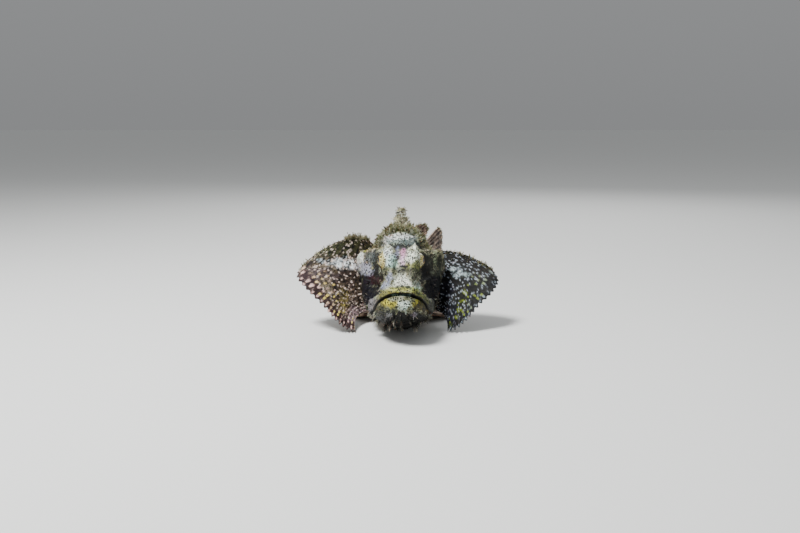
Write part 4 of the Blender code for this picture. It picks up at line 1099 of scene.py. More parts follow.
def raySpots(facts, rimDistance, radius, seed, jitter=0.35):
    # round spots, one on each ray, at a distance from the rim
    ray = np.round(facts["ray"])
    chance = hashed(np.stack((ray, ray * 0 + seed, ray * 0), 1).astype(np.int64), seed)
    across = (facts["ray"] - ray) * facts["apart"]
    along = facts["rim"] - rimDistance - jitter * 2 * (chance - 0.5)
    luck = hashed(np.stack((ray, ray * 0 + seed, ray * 0 + 1), 1).astype(np.int64), seed)
    size = radius * (0.75 + 0.5 * luck)
    return smoothArray((size - np.hypot(across, along)) / 0.3 + 0.5), chance


# markings of the pectoral fins, in the same order as the head's
finPatches = (
    (-31.0, 47.4, 12.4, 4.3, 0, 110, "#44482f", 0.85),  # ground, top
    (-21.0, 50.4, 5.7, 2.9, 0, 110, "#45432e", 0.75),  # ground, root
    (-27.0, 40.6, 6.0, 2.7, 0, 110, "#8f9598", 0.8),  # grey ground of the white blotch
    (-22.4, 39.8, 1.9, 2.4, 0, 110, "#e8ebec", 0.95),  # white blotch
    (-25.6, 41.3, 1.7, 1.8, 0, 110, "#e8ebec", 0.95),  # white blotch
    (-28.6, 39.4, 1.7, 1.4, 0, 110, "#dfe3e5", 0.95),  # white blotch
    (-29.4, 42.2, 1.6, 1.2, 0, 110, "#dfe3e5", 0.95),  # white blotch
    (-33.0, 40.9, 2.2, 1.2, 0, 110, "#c3c9cc", 0.9),  # white blotch
    (-37.0, 41.6, 1.8, 1.0, 0, 110, "#aab0b3", 0.9),  # white blotch
    (-23.8, 33.2, 6.7, 3.8, 0, 110, "#473c37", 0.75),  # middle
    (-40.0, 34.7, 7.6, 3.3, 0, 110, "#6c6265", 0.6),  # outer margin
    (-23.8, 23.2, 5.7, 6.7, 0, 110, "#71635c", 0.6),  # lower web
    (-26.7, 22.8, 2.4, 5.7, 0, 110, "#8a8352", 0.5),  # lower web, yellow
    (-20.4, 15.7, 4.7, 4.3, 0, 110, "#a39398", 0.65),  # foot
    (27.2, 42.6, 12.4, 4.6, 0, 110, "#1d1c18", 0.9),  # left, top
    (26.6, 36.2, 3.6, 2.4, 0, 110, "#4c5354", 0.7),  # left, grey ground of the white blotch
    (24.4, 37.6, 1.5, 1.3, 0, 110, "#b3bcbd", 0.9),  # left, white blotch
    (27.6, 36.0, 1.3, 1.5, 0, 110, "#b3bcbd", 0.9),  # left, white blotch
    (31.2, 35.0, 1.6, 1.0, 0, 110, "#9ea8a8", 0.85),  # left, white blotch
    (25.6, 34.2, 1.1, 0.9, 0, 110, "#9ea8a8", 0.85),  # left, white blotch
    (21.9, 27.9, 3.0, 4.2, 0, 110, "#232540", 0.6),  # left, lavender
    (24.2, 17.5, 3.4, 4.4, 0, 110, "#2a2d48", 0.6),  # left, lavender
    (29.8, 20.5, 5.0, 7.7, 0, 110, "#33352c", 0.6),  # left, low
    (38.6, 35.1, 5.7, 2.9, 0, 110, "#3a3431", 0.6),  # left, tip
    (30.0, 26.6, 0.9, 1.5, 0, 110, "#8a963c", 0.8),  # left, green spot
    (28.9, 22.6, 1.2, 0.9, 0, 110, "#7d8836", 0.8),  # left, green spot
    (27.4, 18.6, 1.1, 0.8, 0, 110, "#848f38", 0.8),  # left, green spot
    (26.4, 14.8, 1.2, 0.8, 0, 110, "#7d8836", 0.8),  # left, green spot
    (23.2, 11.4, 0.7, 0.7, 0, 110, "#8f9f4a", 0.8),  # left, green spot
)
fin = {"between": 8, "pectoralRays": 19, "pectoralRows": 60, "sunk": 2.2, "ripple": 0.03}
pectoral = {
    "root": (Vector((15.5, 68, 35.5)), Vector((14.2, 59, 6.5))),
    "lift": {-1: Vector((-1.9, 0, 4.0)), 1: Vector()},  # for the root of the highest rays
    "rise": {-1: 0.40, 1: -0.26},  # for the climb of the highest rays
    "high": {-1: ((0, (52.0, 57, 31.0)), (0.16, (54.5, 50, 26.0)), (0.34, (48.5, 42, 20.5))),
             1: ((0, (48.5, 57, 28.5)), (0.16, (51.0, 50, 24.0)), (0.34, (47.5, 42, 19.5)))},
    "low": ((0.52, (40.5, 36, 14.0)), (0.70, (34.0, 32, 7.5)), (0.86, (28.5, 31, 2.6)),
            (1, (23.5, 31.5, 0.9))),
    # rows of round spots: distance from the rim, radius, seed
    "spotRows": ((1.2, 0.95, 71), (3.9, 1.1, 72), (7.2, 1.0, 73), (11.0, 0.75, 74), (15.0, 0.6, 76)),
}


def alongPath(path, u):
    k = max(i for i in range(len(path) - 1) if path[i][0] <= u or i == 0)
    t = (u - path[k][0]) / (path[k + 1][0] - path[k][0])
    return curveBetween([Vector(point) for _, point in path], k, t)


def pectoralPlace(side, u):
    high = 1 - smooth(u * 3)
    root = pectoral["root"][0].lerp(pectoral["root"][1], u) + pectoral["lift"][side] * high
    tip = alongPath(pectoral["high"][side] + pectoral["low"], u)
    rise = mix(0.62, 0.10, smooth(u * 1.6)) + pectoral["rise"][side] * high
    out = Vector((1, mix(-0.05, -0.35, u), rise)).normalized()
    knee = root + out * (0.44 * (tip - root).length)
    return [mirrored(p, side) for p in (root, knee, tip)]


def finGround(places, facts, light, middle, dark):
    # a mottled ground in three shades
    colours = np.tile(linear(middle), (len(places), 1))
    tint(colours, smoothArray((grain(places, 3, 51) - 0.45) * 4) * 0.7, light)
    tint(colours, smoothArray((0.45 - grain(places, 2.0, 52)) * 6) * 0.8, dark)
    return colours


def pectoralFin(side):
    columns = rayedColumns(fin["pectoralRays"], lambda u: pectoralPlace(side, u),
                           lambda u: (mix(1.2, 1.35, smooth(u * 1.3 - 0.3)), mix(0.75, 0.9, u)), (0.98, 0.58),
                           lambda u: mix(0.02, 0.06, smooth(u * 1.4 - 0.4)))
    piece, facts = finSheet("pectoralFin" + sideWord(side).title(), columns, fin["pectoralRows"])
    places = coordinates(piece.data)
    if side < 0:
        colours = finGround(places, facts, "#8d8579", "#5b5346", "#241b1c")
    else:
        colours = finGround(places, facts, "#4e4e47", "#292926", "#0d0c10")
    patches(colours, places, finPatches, 61)
    # on the fin's own surface: dark cells, pale crumbs, then a maroon margin with rows of round spots
    own = np.stack((facts["ray"] * 1.7 + 0.5 * np.sin(facts["along"] * 0.9), facts["along"],
                    np.full(len(places), 0.5)), 1)
    ink = "#151112" if side < 0 else "#08080c"
    away, which = dots(own, 2.3, 60, 0.9, flat=True)
    tint(colours, smoothArray((0.35 + 0.55 * which - away) / 0.25) * 0.95, ink)
    away, which = dots(own, 1.2, 62, 0.9, flat=True)
    tint(colours, smoothArray((0.4 - away) / 0.15) * (which > 0.4) * 0.9, ink)
    away, which = dots(own, 1.3, 66, 0.9, flat=True)
    tint(colours, smoothArray((0.45 - away) / 0.15) * (which > 0.5) * 0.85,
         "#cfc4bc" if side < 0 else "#a9aeb4")
    edge = smoothArray((7.5 - facts["rim"]) / 2) * smoothArray((facts["ray"] - 1.5) / 2)
    tint(colours, edge * (0.72 if side < 0 else 0.5), "#321a24" if side < 0 else "#15141c")
    for rim, radius, seed in pectoral["spotRows"]:
        spot, chance = raySpots(facts, rim, radius, seed, 0.9)
        lower = smoothArray((facts["ray"] - 4) / 6)
        spot = spot * smoothArray((facts["ray"] - (0.5 if rim < 5 else 3.5)) / 2)
        spot = spot * (chance > (0.2 if side < 0 else 0.55))
        rosy, warm = ("#cbb6b0", "#c9bd7c") if side < 0 else ("#8f959a", "#7c863e")
        tint(colours, spot * (0.9 if rim < 9 else 0.6), rosy)
        tint(colours, spot * smoothArray((chance - 0.5) * 6) * (rim > 2) * (0.3 + 0.7 * lower), warm)
    colours *= (0.78 + 0.44 * grain(places, 0.7, 75))[:, None]
    dress(piece, colours, 0.65, finLook, ["pectoral_fin_" + sideWord(side)])


for side in (-1, 1):
    pectoralFin(side)
print("pectoral fins")

dorsal = {"lengths": (8, 11.5, 13.3, 14, 14, 14, 14, 13.8, 13, 11.5, 10, 12), "start": 51, "step": 4.35,
          "lean": (34, 38), "between": 12}


def dorsalSpine(k):
    s = dorsal["start"] + dorsal["step"] * k
    lean = math.radians(mix(*dorsal["lean"], k / (len(dorsal["lengths"]) - 1)))
    root = Vector((0, s, read("top", s) - fin["sunk"]))
    tip = root + Vector((0, math.cos(lean), math.sin(lean))) * (dorsal["lengths"][k] + fin["sunk"])
    return root, tip + Vector((0.5 * math.sin(k * 2.1), 0, 0))


def barColours(places, along, light, middle, dark, seed):
    colours = np.tile(linear(middle), (len(places), 1))
    tint(colours, smoothArray((grain(places, 3, seed) - 0.45) * 4) * 0.7, light)
    tint(colours, smoothArray((0.42 - grain(places, 2.2, seed + 1)) * 6) * 0.8, dark)
    band = np.sin(along * 0.62 + 5 * grain(places, 5, seed + 2) + 2 * grain(places, 1.6, seed + 5))
    tint(colours, smoothArray(band * 2.2 - 0.8) * 0.55, dark)
    tint(colours, smoothArray(-band * 2.2 - 0.8) * 0.45, light)
    away, which = dots(places, 1.5, seed + 3, 0.95)
    tint(colours, smoothArray((0.5 - away) / 0.18) * (which > 0.25) * 0.85, dark)
    tint(colours, smoothArray((0.4 - away) / 0.15) * (which < 0.14) * 0.8, light)
    colours *= (0.78 + 0.44 * grain(places, 0.7, seed + 4))[:, None]
    return colours


def thorn(root, tip, radius, sides=10, rings=9, curl=0.0):
    # a bony spine, slightly curved, as vertices and faces
    way = (tip - root).normalized()
    across = way.orthogonal().normalized()
    up = way.cross(across)
    bend = Vector((0, 0, curl))
    verts, faces = [], []
    for i in range(rings):
        t = i / (rings - 1)
        centre = root.lerp(tip, t) + bend * (t * (1 - t) * 4)
        size = radius * (1 - t) ** 0.75 + 0.07
        for k in range(sides):
            turn = 2 * math.pi * k / sides
            verts.append(centre + (across * math.cos(turn) + up * math.sin(turn)) * size)
    for i in range(rings - 1):
        for k in range(sides):
            after = (k + 1) % sides
            faces.append((i * sides + k, i * sides + after, (i + 1) * sides + after, (i + 1) * sides + k))
    faces.append(tuple(reversed(range(sides))))
    faces.append(tuple(range((rings - 1) * sides, rings * sides)))
    return verts, faces


def meshFrom(name, parts):
    verts, faces = [], []
    for partVerts, partFaces in parts:
        start = len(verts)
        verts += [tuple(v) for v in partVerts]
        faces += [tuple(i + start for i in face) for face in partFaces]
    return meshPiece(name, verts, faces)


def spinyDorsal():
    columns = []
    last = len(dorsal["lengths"]) - 1
    for i in range(last * dorsal["between"] + 1):
        k = min(i // dorsal["between"], last - 1)
        t = i / dorsal["between"] - k
        (rootA, tipA), (rootB, tipB) = dorsalSpine(k), dorsalSpine(k + 1)
        root, tip = rootA.lerp(rootB, t), tipA.lerp(tipB, t)
        # the web hangs low between the spines and climbs steeply in front of the next one
        share = mix(0.84, 0.58, smooth(t / 0.55)) if t < 0.55 else mix(0.58, 0.74, smooth((t - 0.55) / 0.45))
        ridge = max(1 - min(t, 1 - t) * 9, 0)
        columns.append({"root": root, "knee": (root + tip) / 2, "tip": tip, "reach": share, "ridge": ridge,
                        "thick": (mix(0.7, 1.5, ridge), mix(0.4, 0.9, ridge)), "ray": i / dorsal["between"]})
    web, facts = finSheet("dorsalWeb", columns, 26)
    webPlaces = coordinates(web.data)
    sway = 0.5 * np.sin(webPlaces[:, 1] * 1.45) * smoothArray(facts["along"] / 9)
    webPlaces[:, 0] += sway * (1 - facts["ridge"])
    setCoordinates(web.data, webPlaces)
    spines = meshFrom("dorsalSpines", [thorn(*dorsalSpine(k), 1.0, rings=12) for k in range(last + 1)])
    piece = joined([web, spines], "dorsalFinSpiny")
    places = coordinates(piece.data)
    colours = barColours(places, places[:, 2] * 1.2, "#c3bfae", "#7b7a62", "#2f2c27", 81)
    tip = np.array([tuple(dorsalSpine(k)[1]) for k in range(last + 1)])
    nearTip = np.min(np.linalg.norm(places[:, None, :] - tip[None, :, :], axis=2), axis=1)
    tint(colours, smoothArray((2.6 - nearTip) / 1.5) * 0.7, "#d9d3c4")
    dress(piece, colours, 0.7, finLook, ["dorsal_fin_spiny"])


spinyDorsal()


def fanFin(name, nodeName, given, roots, tips):
    def place(u):
        root, tip = alongPath(roots, u), alongPath(tips, u)
        return root, (root + tip) / 2 + Vector((given["bow"], 0, given["spread"] * (1 - 2 * u))), tip
    columns = rayedColumns(given["rays"], place, lambda u: given["thick"], (0.6, 0.35),
                           lambda u: given["notch"])
    piece, facts = finSheet(name, columns, given["rows"])
    places, shades, seed = coordinates(piece.data), given["shades"], given["seed"]
    wave = 0.35 * np.sin(facts["ray"] * 2 * np.pi + 0.7) * smoothArray(facts["v"] * 1.6)
    places[:, 0] += wave * (1 - facts["ridge"])
    setCoordinates(piece.data, places)
    colours = barColours(places, facts["along"], *shades, seed)
    tint(colours, facts["ridge"] * 0.3, shades[0])
    tint(colours, (1 - facts["ridge"]) * 0.35 * smoothArray(facts["v"] * 2), shades[2])
    for rim, radius in ((1.0, 0.55), (3.6, 0.6)):
        spot, chance = raySpots(facts, rim, radius, seed + 9)
        tint(colours, spot * (chance > 0.3) * 0.85, "#d8c9b4")
    dress(piece, colours, 0.7, finLook, [nodeName])


# fins of the middle plane: roots as (share of the fin, distance), tips as (share, place), first ray first
softDorsal = {"rays": 10, "roots": ((0, 102.2), (0.33, 108), (0.66, 114), (1, 121)), "bow": 1.0, "spread": 0,
              "tips": ((0, (4.6, 117, 45.3)), (0.2, (7.8, 126, 45.3)), (0.45, (8.6, 133, 42.3)),
                       (0.7, (7.0, 137.5, 38.5)), (0.88, (4.2, 138, 35.5)), (1, (1.6, 135, 32.8))),
              "thick": (1.2, 0.6), "notch": 0.06, "rows": 44, "seed": 91,
              "shades": ("#b9a79a", "#77695c", "#352a27")}  # leans over to the fish's left
anal = {"rays": 8, "roots": ((0, 97), (0.35, 102), (0.7, 108), (1, 114)), "bow": -0.8, "spread": 0,
        "tips": ((0, (-0.5, 102.5, 0.7)), (0.3, (-1.2, 113, 0.7)), (0.55, (-1.6, 124, 0.7)),
                 (0.8, (-1.2, 131, 2.6)), (1, (-0.5, 128, 7.0))),
        "thick": (1.4, 0.7), "notch": 0.06, "rows": 40, "seed": 101,
        "shades": ("#c9b7a6", "#8a7565", "#3a2a28")}
caudal = {"rays": 12, "middle": 20.1, "halfRoot": 7.6, "halfTip": 17.6, "start": 147.8, "end": 186,
          "bow": 0.8, "spread": 2.4, "thick": (1.5, 0.6), "notch": 0.035, "rows": 56, "seed": 111,
          "shades": ("#b9ab9f", "#7b706a", "#2e2827")}


def caudalTip(u):
    spread = 1 - 2 * u
    return (1.4 * math.sin(spread * 2.6), caudal["end"] - 8.5 * abs(spread) ** 2.6,
            caudal["middle"] + caudal["halfTip"] * math.sin(spread * 1.45))


caudalTips = tuple((k / 6, caudalTip(k / 6)) for k in range(7))


def otherFins():
    for name, nodeName, given, edge, sink in (
            ("dorsalFinSoft", "dorsal_fin_soft", softDorsal, "top", -fin["sunk"]),
            ("analFin", "anal_fin", anal, "bottom", fin["sunk"])):
        roots = tuple((u, (0, s, read(edge, s) + sink)) for u, s in given["roots"])
        fanFin(name, nodeName, given, roots, given["tips"])
    roots = tuple((u, (0, caudal["start"], caudal["middle"] + caudal["halfRoot"] * (1 - 2 * u)))
                  for u in (0, 0.5, 1))
    fanFin("caudalFin", "caudal_fin", caudal, roots, caudalTips)
    for side in (-1, 1):
        pelvicFin(side)


def pelvicFin(side):
    def place(u):
        root = Vector((mix(12.4, 8.6, u), mix(55.5, 62.5, u), mix(5.6, 3.2, u)))
        swing = math.radians(mix(38, 74, u))
        length = mix(21, 31, math.sin(math.pi * min(u + 0.12, 1) * 0.8))
        tip = Vector((root.x + length * math.cos(swing), root.y + length * math.sin(swing), 0.9))
        knee = (root + tip) / 2
        knee.z = mix(2.4, 1.6, u)
        return [mirrored(p, side) for p in (root, knee, tip)]

    columns = rayedColumns(6, place, lambda u: (mix(2.0, 1.5, u), 0.9), (0.7, 0.4),
                           lambda u: 0.12)
    piece, facts = finSheet("pelvicFin" + sideWord(side).title(), columns, 40)
    places = coordinates(piece.data)
    colours = barColours(places, facts["along"], "#c7b8a8", "#857266", "#3a2b2c", 121)
    dress(piece, colours, 0.6, finLook, ["pelvic_fin_" + sideWord(side)])


otherFins()
print("fins")


# bony spines on the head, set on the skin

bonySpines = {
    # distance, side, length, lean
    "brow": ((20.3, 6.2, 1.4, 0.7), (25.0, 6.8, 1.2, 1.2), (30.0, 6.6, 1.8, 1.3), (33.4, 4.2, 2.0, 1.3)),
    "stay": ((2, 1.8), (4, 1.6), (6, 2.0)),  # step along the ridge under the eye, length
    "cheek": ((1, 1.6), (3, 1.9), (4, 2.3), (6, 2.8), (7, 4.2)),  # step up the edge, length
    "snout": ((7.5, 24.0), (12.5, 21.6)),  # distance, height
    # root and tip
    "gill": (((20.2, 52.5, 34.6), (23.0, 59.5, 36.4)), ((21.2, 52.5, 27.4), (24.2, 59.5, 28.6))),
}


def headSpines():
    parts = []
    for side in (-1, 1):
        for s, x, length, lean in bonySpines["brow"]:
            offset = Vector((x, s, 0)) - Vector(eyes["turret"])
            share = 1 - (offset.x / eyes["turretSize"][0]) ** 2 - (offset.y / eyes["turretSize"][1]) ** 2
            height = eyes["turret"][2] + eyes["turretSize"][2] * math.sqrt(max(share, 0.02))
            root = Vector((side * x, s, height))
            way = Vector((side * 0.25, lean, 1)).normalized()
            parts.append(thorn(root - way * 0.8, root + way * length, 0.75))
        for s, degrees, length in napeSpines:
            root = bodyPoint(s, math.radians(degrees), side)
            way = (bodyNormal(s, math.radians(degrees), side) + Vector((0, 1.1, 0))).normalized()
            parts.append(thorn(root - way, root + way * length, 0.95, curl=0.25))
        for k, length in bonySpines["stay"]:
            root = cheekStay(k / 8, side)
            way = Vector((side, 0.9, 0.1)).normalized()
            parts.append(thorn(root, root + Vector((side * 0.6, 0, 0)) + way * length, 0.8))
        for k, length in bonySpines["cheek"]:
            root = cheekEdge(k / 8, side)
            way = Vector((side * 1.2, 0.7, 0.15)).normalized()
            parts.append(thorn(root, root + Vector((side * 0.7, 0, 0)) + way * length, 0.85))
        for s, z in bonySpines["snout"]:
            root = onBody(s, z, side)
            way = Vector((side, 0.25, -0.8)).normalized()
            parts.append(thorn(root, root + Vector((side * 0.8, 0, 0)) + way * 2.2, 0.85))
        for start, end in bonySpines["gill"]:
            start, end = mirrored(start, side), mirrored(end, side)
            parts.append(thorn(start, end, 0.8))
    piece = meshFrom("headSpines", parts)
    places = coordinates(piece.data)
    colours = skinColours(places)
    tint(colours, smoothArray((30 - np.abs(places[:, 2] - 44) * 3) / 10) * 0.15, "#cfcabb")
    # spines low on the cheeks are darkened with painted shade
    cheek = smoothArray((np.abs(places[:, 0]) - 12) / 2) * smoothArray((34 - places[:, 2]) / 4)
    tint(colours, cheek * 0.75, "#17151c")
    dress(piece, colours, 0.4, skinLook, ["head"])


headSpines()
print("spines")


# soft flaps and branched threads, each rooted on the skin or a fin

def thread(root, way, length, width, droop, twigs):
    # a flattened, curved stalk with twigs that leave it to both sides, like a small fern
    way = way.normalized()
    across = Matrix.Rotation(vary(0, 2 * math.pi), 3, way) @ way.orthogonal().normalized()
    up = way.cross(across)
    curl = across * vary(-0.3, 0.3) + up * vary(-0.5, 0.5)
    verts, faces, middle, rings = [], [], [], 6
    for i in range(rings):
        t = i / (rings - 1)
        centre = root + way * ((t * 1.2 - 0.2) * length) + curl * (length * t * t * 0.7)
        centre.z -= droop * t * t * length
        middle.append(centre)
        size = width * 0.5 * (1 - 0.9 * t ** 1.3)
        verts += [centre + across * size, centre + up * (size * 0.4), centre - across * size,
                  centre - up * (size * 0.4)]
    for i in range(rings - 1):
        for k in range(4):
            after = (k + 1) % 4
            faces.append((i * 4 + k, i * 4 + after, (i + 1) * 4 + after, (i + 1) * 4 + k))
    faces += [(3, 2, 1, 0), tuple(range((rings - 1) * 4, rings * 4))]
    for j in range(twigs):
        t = mix(0.3, 0.92, (j + vary(0, 1)) / twigs)
        k = min(int(t * (rings - 1)), rings - 2)
        start = middle[k].lerp(middle[k + 1], t * (rings - 1) - k)
        along = (middle[k + 1] - middle[k]).normalized()
        sideways = across * (1 if j % 2 else -1) + up * vary(-0.5, 0.5)
        sprout = (along * vary(0.7, 1.3) + sideways).normalized()
        reach = length * vary(0.28, 0.5) * (1.25 - t)
        flat = sprout.cross(up).normalized() * (width * 0.2)
        over = up * (width * 0.12)
        base = len(verts)
        for place, size in ((start - sprout * (width * 0.1), 1), (start + sprout * (reach * 0.6), 0.9),
                            (start + sprout * reach + along * (reach * 0.2), 0.3)):
            verts += [place + flat * size, place + over * size, place - flat * size]
        for i in (0, 3):
            for m in range(3):
                after = (m + 1) % 3
                faces.append((base + i + m, base + i + after, base + i + 3 + after, base + i + 3 + m))
        faces += [(base + 2, base + 1, base), (base + 6, base + 7, base + 8)]
    return verts, faces


def tuftPiece(name, tufts, look, nodes, colourOf):
    # tufts: (root, way, length, width, droop, twigs)
    parts, owner, mapPlaces = [], [], []
    for k, (root, way, length, width, droop, twigs) in enumerate(tufts):
        made = thread(root, way, length, width, droop, twigs)
        parts.append(made)
        owner += [k] * len(made[0])
    piece = meshFrom(name, parts)
    owner = np.array(owner)
    roots = np.array([tuple(t[0]) for t in tufts])
    lengths = np.array([t[2] for t in tufts])
    places = coordinates(piece.data)
    colours = colourOf(roots)[owner]
    away = np.linalg.norm(places - roots[owner], axis=1) / lengths[owner]
    tint(colours, smoothArray((away - 0.35) / 0.7) * 0.7 * hashed(np.stack((owner, owner, owner), 1), 3) ** 2,
         "#cfcabd")
    colours *= (0.6 + 0.8 * grain(places, 0.9, 131))[:, None]
    spread = (places - roots[owner]) / np.maximum(lengths[owner], 0.5)[:, None]
    patch = skinMap(roots)[owner] + np.stack((spread[:, 0] + spread[:, 1], spread[:, 2]), 1) * patchSize
    setMap(piece, "OFBake", patch)
    dress(piece, colours, 0.55, look, nodes)


def onSkin(s, angle, side):
    # the finished skin's surface, met from outside
    normal = bodyNormal(s, angle, side)
    place = skinTree.ray_cast(bodyPoint(s, angle, side) + normal * 9, -normal, 14)[0]
    return (place or bodyPoint(s, angle, side)) - normal * 0.1, normal


def skinTuft(s, z, side, out, length, width, droop, twigs):
    place, normal = onSkin(s, angleAtHeight(s, z), side)
    return place, normal + mirrored(out, side), length, width, droop, twigs


def varied(x, y, z):
    return Vector((vary(*x), vary(*y), vary(*z)))


def tuftSizes(length, width, twigs, share=1.0, droop=0):
    # length, width, droop and number of twigs, drawn from their ranges
    return vary(*length) * share, vary(*width), droop, int(vary(*twigs))


flaps = {
    "chin": ((1.6, 18.2, 2.6), (5.0, 14.4, 4.4), (10, 11.4, 5.0), (15, 9.2, 4.8), (20.5, 7.4, 3.8)),
    "cheek": ((31, 11.5, 3.4), (35, 17.5, 2.6), (47, 45.5, 3.0)),  # distance, height, length
    "flank": ((70, 42, 3.2), (80, 48, 3.6), (90, 54, 3.0), (100, 58, 3.2), (80, 90, 2.6), (94, 100, 2.6),
              (114, 62, 2.8), (124, 68, 2.4), (135, 74, 2.4)),  # distance, degrees, length
    # olive fringe behind the pale cap, then its tall middle: how many, furthest distance, degrees,
    # sway, rise, and ranges of length, width and twigs
    "nape": ((330, 64, (0, 62), (-0.7, 0.4), 0.3, ((0.9, 3.4), (0.45, 0.9), (1, 7))),
             (70, 60, (2, 24), (-0.6, 0.2), 0.6, ((2.6, 4.8), (0.5, 1.0), (4, 9)))),
}


def headTufts():
    tufts = []
    for side in (-1, 1):
        # tassels under the chin, with a bush of finer threads between them
        for s, z, length in flaps["chin"]:
            tufts.append(skinTuft(s, z, side, (0, -0.4, -0.7), length, 1.5, 0.1, 5))
            for _ in range(7):
                tufts.append(skinTuft(s + vary(-2, 2), z + vary(-3, 2), side,
                                      varied((-0.5, 0.5), (-0.6, 0), (-1, 0)),
                                      length * vary(0.35, 0.7), 0.6, 0.1, 3))
        # the cheek's rear edge and the lobe at its foot
        for _ in range(60):
            k = vary(0, 1)
            s, z = mix(36.5, 41, smooth(k)) + vary(-2, 2.5), mix(5.0, 24, k)
            tufts.append(skinTuft(s, z, side, (0.3, -0.3, -0.2),
                                  *tuftSizes((1.0, 2.8), (0.45, 0.9), (1, 5), mix(1.4, 0.7, k), 0.1)))
        for s, z, length in flaps["cheek"]:
            tufts.append(skinTuft(s, z, side, (0, 0.3, -0.25), length, 1.5, 0.1, 6))
        # jaw bone's lower edge
        for _ in range(34):
            k = vary(0, 1)
            tufts.append(skinTuft(mix(9, 26, k), mix(16.5, 11, k) + vary(-1.5, 1), side, (0.4, -0.3, -0.5),
                                  *tuftSizes((0.8, 2.0), (0.35, 0.7), (0, 4), droop=0.15)))
        # nostril flap and the tassel over the eye
        tufts.append((onBody(11, 28.6, side), mirrored((0.3, -0.2, 1), side), 3.0, 1.1, 0, 4))
        brow = Vector(eyes["turret"]) + Vector((0.6, -1.0, eyes["turretSize"][2] - 0.2))
        tufts.append((mirrored(brow, side), mirrored((0.5, 0.2, 1), side), 2.6, 1.1, 0, 5))
        for count, far, degreeRange, sway, rise, sizes in flaps["nape"]:
            for _ in range(count):
                s, degrees = vary(50, far), vary(*degreeRange)
                place, normal = onSkin(s, math.radians(degrees), side)
                way = normal + Vector((0, vary(*sway), rise))
                tufts.append((place, way, *tuftSizes(*sizes, mix(1, 0.7, degrees / degreeRange[1]))))
        # crumbs of skin over cheeks, brows and gill covers, away from the eye and the lips
        for _ in range(420):
            place, normal = onSkin(vary(4, 60), math.radians(vary(8, 150)), side)
            fromEye = (place - mirrored(eyes["centre"], side)).length
            fromMouth = abs(place.z - mouthHeight(place.y)) if place.y < 24 else 9
            if fromEye > 6.6 and fromMouth > 4.5 and place.z > 1.5:
                tufts.append((place, normal + Vector((0, vary(0, 1.2), 0)),
                              *tuftSizes((0.35, 0.95), (0.3, 0.55), (0, 3))))
    return tufts


def bodyTufts():
    tufts = []
    for side in (-1, 1):
        for s, degrees, length in flaps["flank"]:
            angle = math.radians(degrees)
            way = bodyNormal(s, angle, side) + Vector((0, 0.9, 0))
            tufts.append((bodyPoint(s, angle, side), way, length, 1.7, 0.1, 6))
        for _ in range(260):
            s, angle = vary(58, 148), math.radians(vary(6, 125))
            way = bodyNormal(s, angle, side) + Vector((0, vary(0.4, 1.4), 0))
            tufts.append((bodyPoint(s, angle, side), way,
                          *tuftSizes((0.7, 1.9), (0.35, 0.8), (0, 4), droop=0.1)))
    return tufts


def headTuftColours(roots):
    colours = skinColours(roots)
    nape = smoothArray((roots[:, 1] - 49) / 3) * smoothArray((roots[:, 2] - 36) / 4)
    tint(colours, nape * 0.75, "#656a45")
    tint(colours, nape * smoothArray((grain(roots, 1.6, 145) - 0.52) * 5), "#a7a894")
    tint(colours, nape * smoothArray((roots[:, 2] - 50.5) / 2) * 0.6, "#a3a5a0")
    tint(colours, nape * smoothArray((0.4 - grain(roots, 1.4, 146)) * 6), "#24251c")
    return colours


tuftPiece("headFlaps", headTufts(), flapLook, ["head", "lower_jaw"], headTuftColours)
tuftPiece("bodyFlaps", bodyTufts(), flapLook, ["torso", "tail"], skinColours)


def finTufts():
    # threads on the pectorals' upper edges, the rear fins' margins and the dorsal spines
    tufts = []
    for side in (-1, 1):
        for _ in range(120 if side < 0 else 0):
            # the shoulder of the raised fin carries the longest threads
            share, v = vary(0, 0.05), vary(0.12, 0.5)
            way = mirrored(varied((-0.5, 0.8), (-0.7, 0.7), (0.6, 1.3)), side)
            tufts.append((alongRay(pectoralPlace(side, share), v), way,
                          *tuftSizes((2.0, 4.2), (0.5, 0.9), (3, 8))))
        for _ in range(230):
            share, v = abs(float(rng.normal(0, 0.06))), vary(0.05, 1)
            way = mirrored(varied((-0.2, 0.8), (-1, 0.6), (0.5, 1.2)), side)
            tufts.append((alongRay(pectoralPlace(side, min(share, 1)), v), way,
                          *tuftSizes((0.8, 2.3), (0.4, 0.7), (0, 5))))
    for path, reach in ((softDorsal["tips"], 0.6), (caudalTips, 1.0)):
        for _ in range(130):
            place = alongPath(path, vary(0.0, reach)) - Vector((0, vary(0.6, 2.4), 0))
            tufts.append((place, varied((-1, 1), (-0.2, 1), (-0.4, 1)),
                          *tuftSizes((0.7, 1.7), (0.35, 0.6), (0, 4))))
    for k in range(len(dorsal["lengths"])):
        root, tip = dorsalSpine(k)
        for _ in range(56 if k < 6 else 8):
            high = vary(0.25, 0.93)
            way = varied((-1.6, 1.6), (-0.8, 0.4), (-0.5, 0.3))
            tufts.append((root.lerp(tip, high), way,
                          *tuftSizes((1.6, 4.0), (0.6, 1.2), (3, 8), mix(1.2, 0.8, high))))
        for _ in range(26 if k < 4 else 0):
            # a ruff at the foot of the first spines
            place = root.lerp(tip, vary(0.18, 0.42)) + Vector((vary(-1.5, 1.5), 0, -0.5))
            way = Vector((vary(-1, 1) * 1.3, vary(-0.6, 0.4), vary(0.5, 1.2)))
            tufts.append((place, way, *tuftSizes((3.0, 5.6), (0.7, 1.2), (4, 9))))
    return tufts


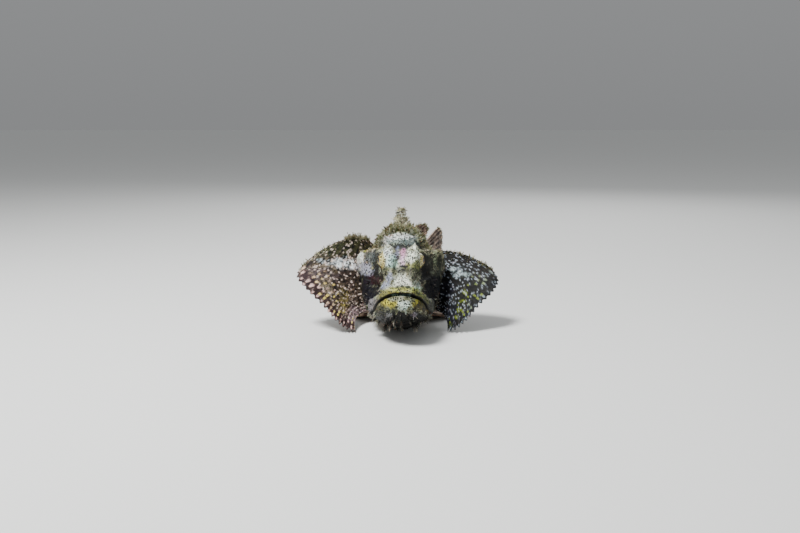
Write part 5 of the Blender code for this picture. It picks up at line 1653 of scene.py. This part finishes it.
def finTuftColours(roots):
    colours = np.tile(linear("#6b6a52"), (len(roots), 1))
    tint(colours, smoothArray((grain(roots, 3, 141) - 0.4) * 4), "#a9a691")
    crown = smoothArray((6 - np.abs(roots[:, 0])) / 2) * smoothArray((roots[:, 2] - 52) / 5)
    tint(colours, crown * smoothArray((grain(roots, 1.5, 142) - 0.4) * 4), "#a9aaa2")
    tint(colours, crown * smoothArray((0.42 - grain(roots, 1.2, 143)) * 6), "#1c1d20")
    return colours


tuftPiece("finFlaps", finTufts(), flapLook, ["dorsal_fin_spiny"], finTuftColours)
print("flaps")


# floor, light and camera

lights = (("key", (-0.26, -0.26, 0.64), 0.2, 11), ("fill", (0.55, -0.45, 0.35), 0.6, 0.3),
          ("back", (0.15, 0.6, 0.5), 0.5, 2.4))  # name, place, size, power


def studio():
    bpy.ops.mesh.primitive_plane_add(size=12)
    floor = newest("floor")
    pale = bpy.data.materials.new("paleFloor")
    pale.use_nodes = True
    shader = pale.node_tree.nodes["Principled BSDF"]
    shader.inputs["Base Color"].default_value = (*linear("#d5d6d4"), 1)
    shader.inputs["Roughness"].default_value = 0.8
    floor.data.materials.append(pale)
    world = bpy.data.worlds.new("softRoom")
    world.use_nodes = True
    tree = world.node_tree
    tree.nodes["Background"].inputs[0].default_value = (*linear("#eef0f2"), 1)
    way = node(tree, "ShaderNodeTexCoord").outputs["Generated"]
    height = node(tree, "ShaderNodeSeparateXYZ", links={0: way}).outputs[2]
    glow = node(tree, "ShaderNodeMapRange", {1: 0.0, 2: 1.0, 3: 0.30, 4: 0.53}, {0: height})
    tree.links.new(glow.outputs[0], tree.nodes["Background"].inputs[1])
    bpy.context.scene.world = world
    for name, place, size, power in lights:
        light = bpy.data.lights.new(name, "AREA")
        light.energy = power
        light.size = size
        lamp = bpy.data.objects.new(name, light)
        lamp.location = place
        lamp.rotation_euler = (Vector((0, -0.05, 0.03)) - lamp.location).to_track_quat("-Z", "Y").to_euler()
        bpy.context.scene.collection.objects.link(lamp)


view = {"tilt": 9, "distance": 0.45, "lens": 43.5, "sensor": 36, "aimSide": 0.0012, "aimHeight": 0.0397}


def camera():
    tilt = math.radians(view["tilt"])
    way = Vector((0, math.cos(tilt), -math.sin(tilt)))
    lens = bpy.data.cameras.new("camera")
    lens.lens = view["lens"]
    lens.sensor_width = view["sensor"]
    lens.clip_start = 0.01
    made = bpy.data.objects.new("camera", lens)
    made.location = Vector((view["aimSide"], cadLow.y, view["aimHeight"])) - way * view["distance"]
    made.rotation_euler = way.to_track_quat("-Z", "Y").to_euler()
    bpy.context.scene.collection.objects.link(made)
    bpy.context.scene.camera = made


studio()
camera()
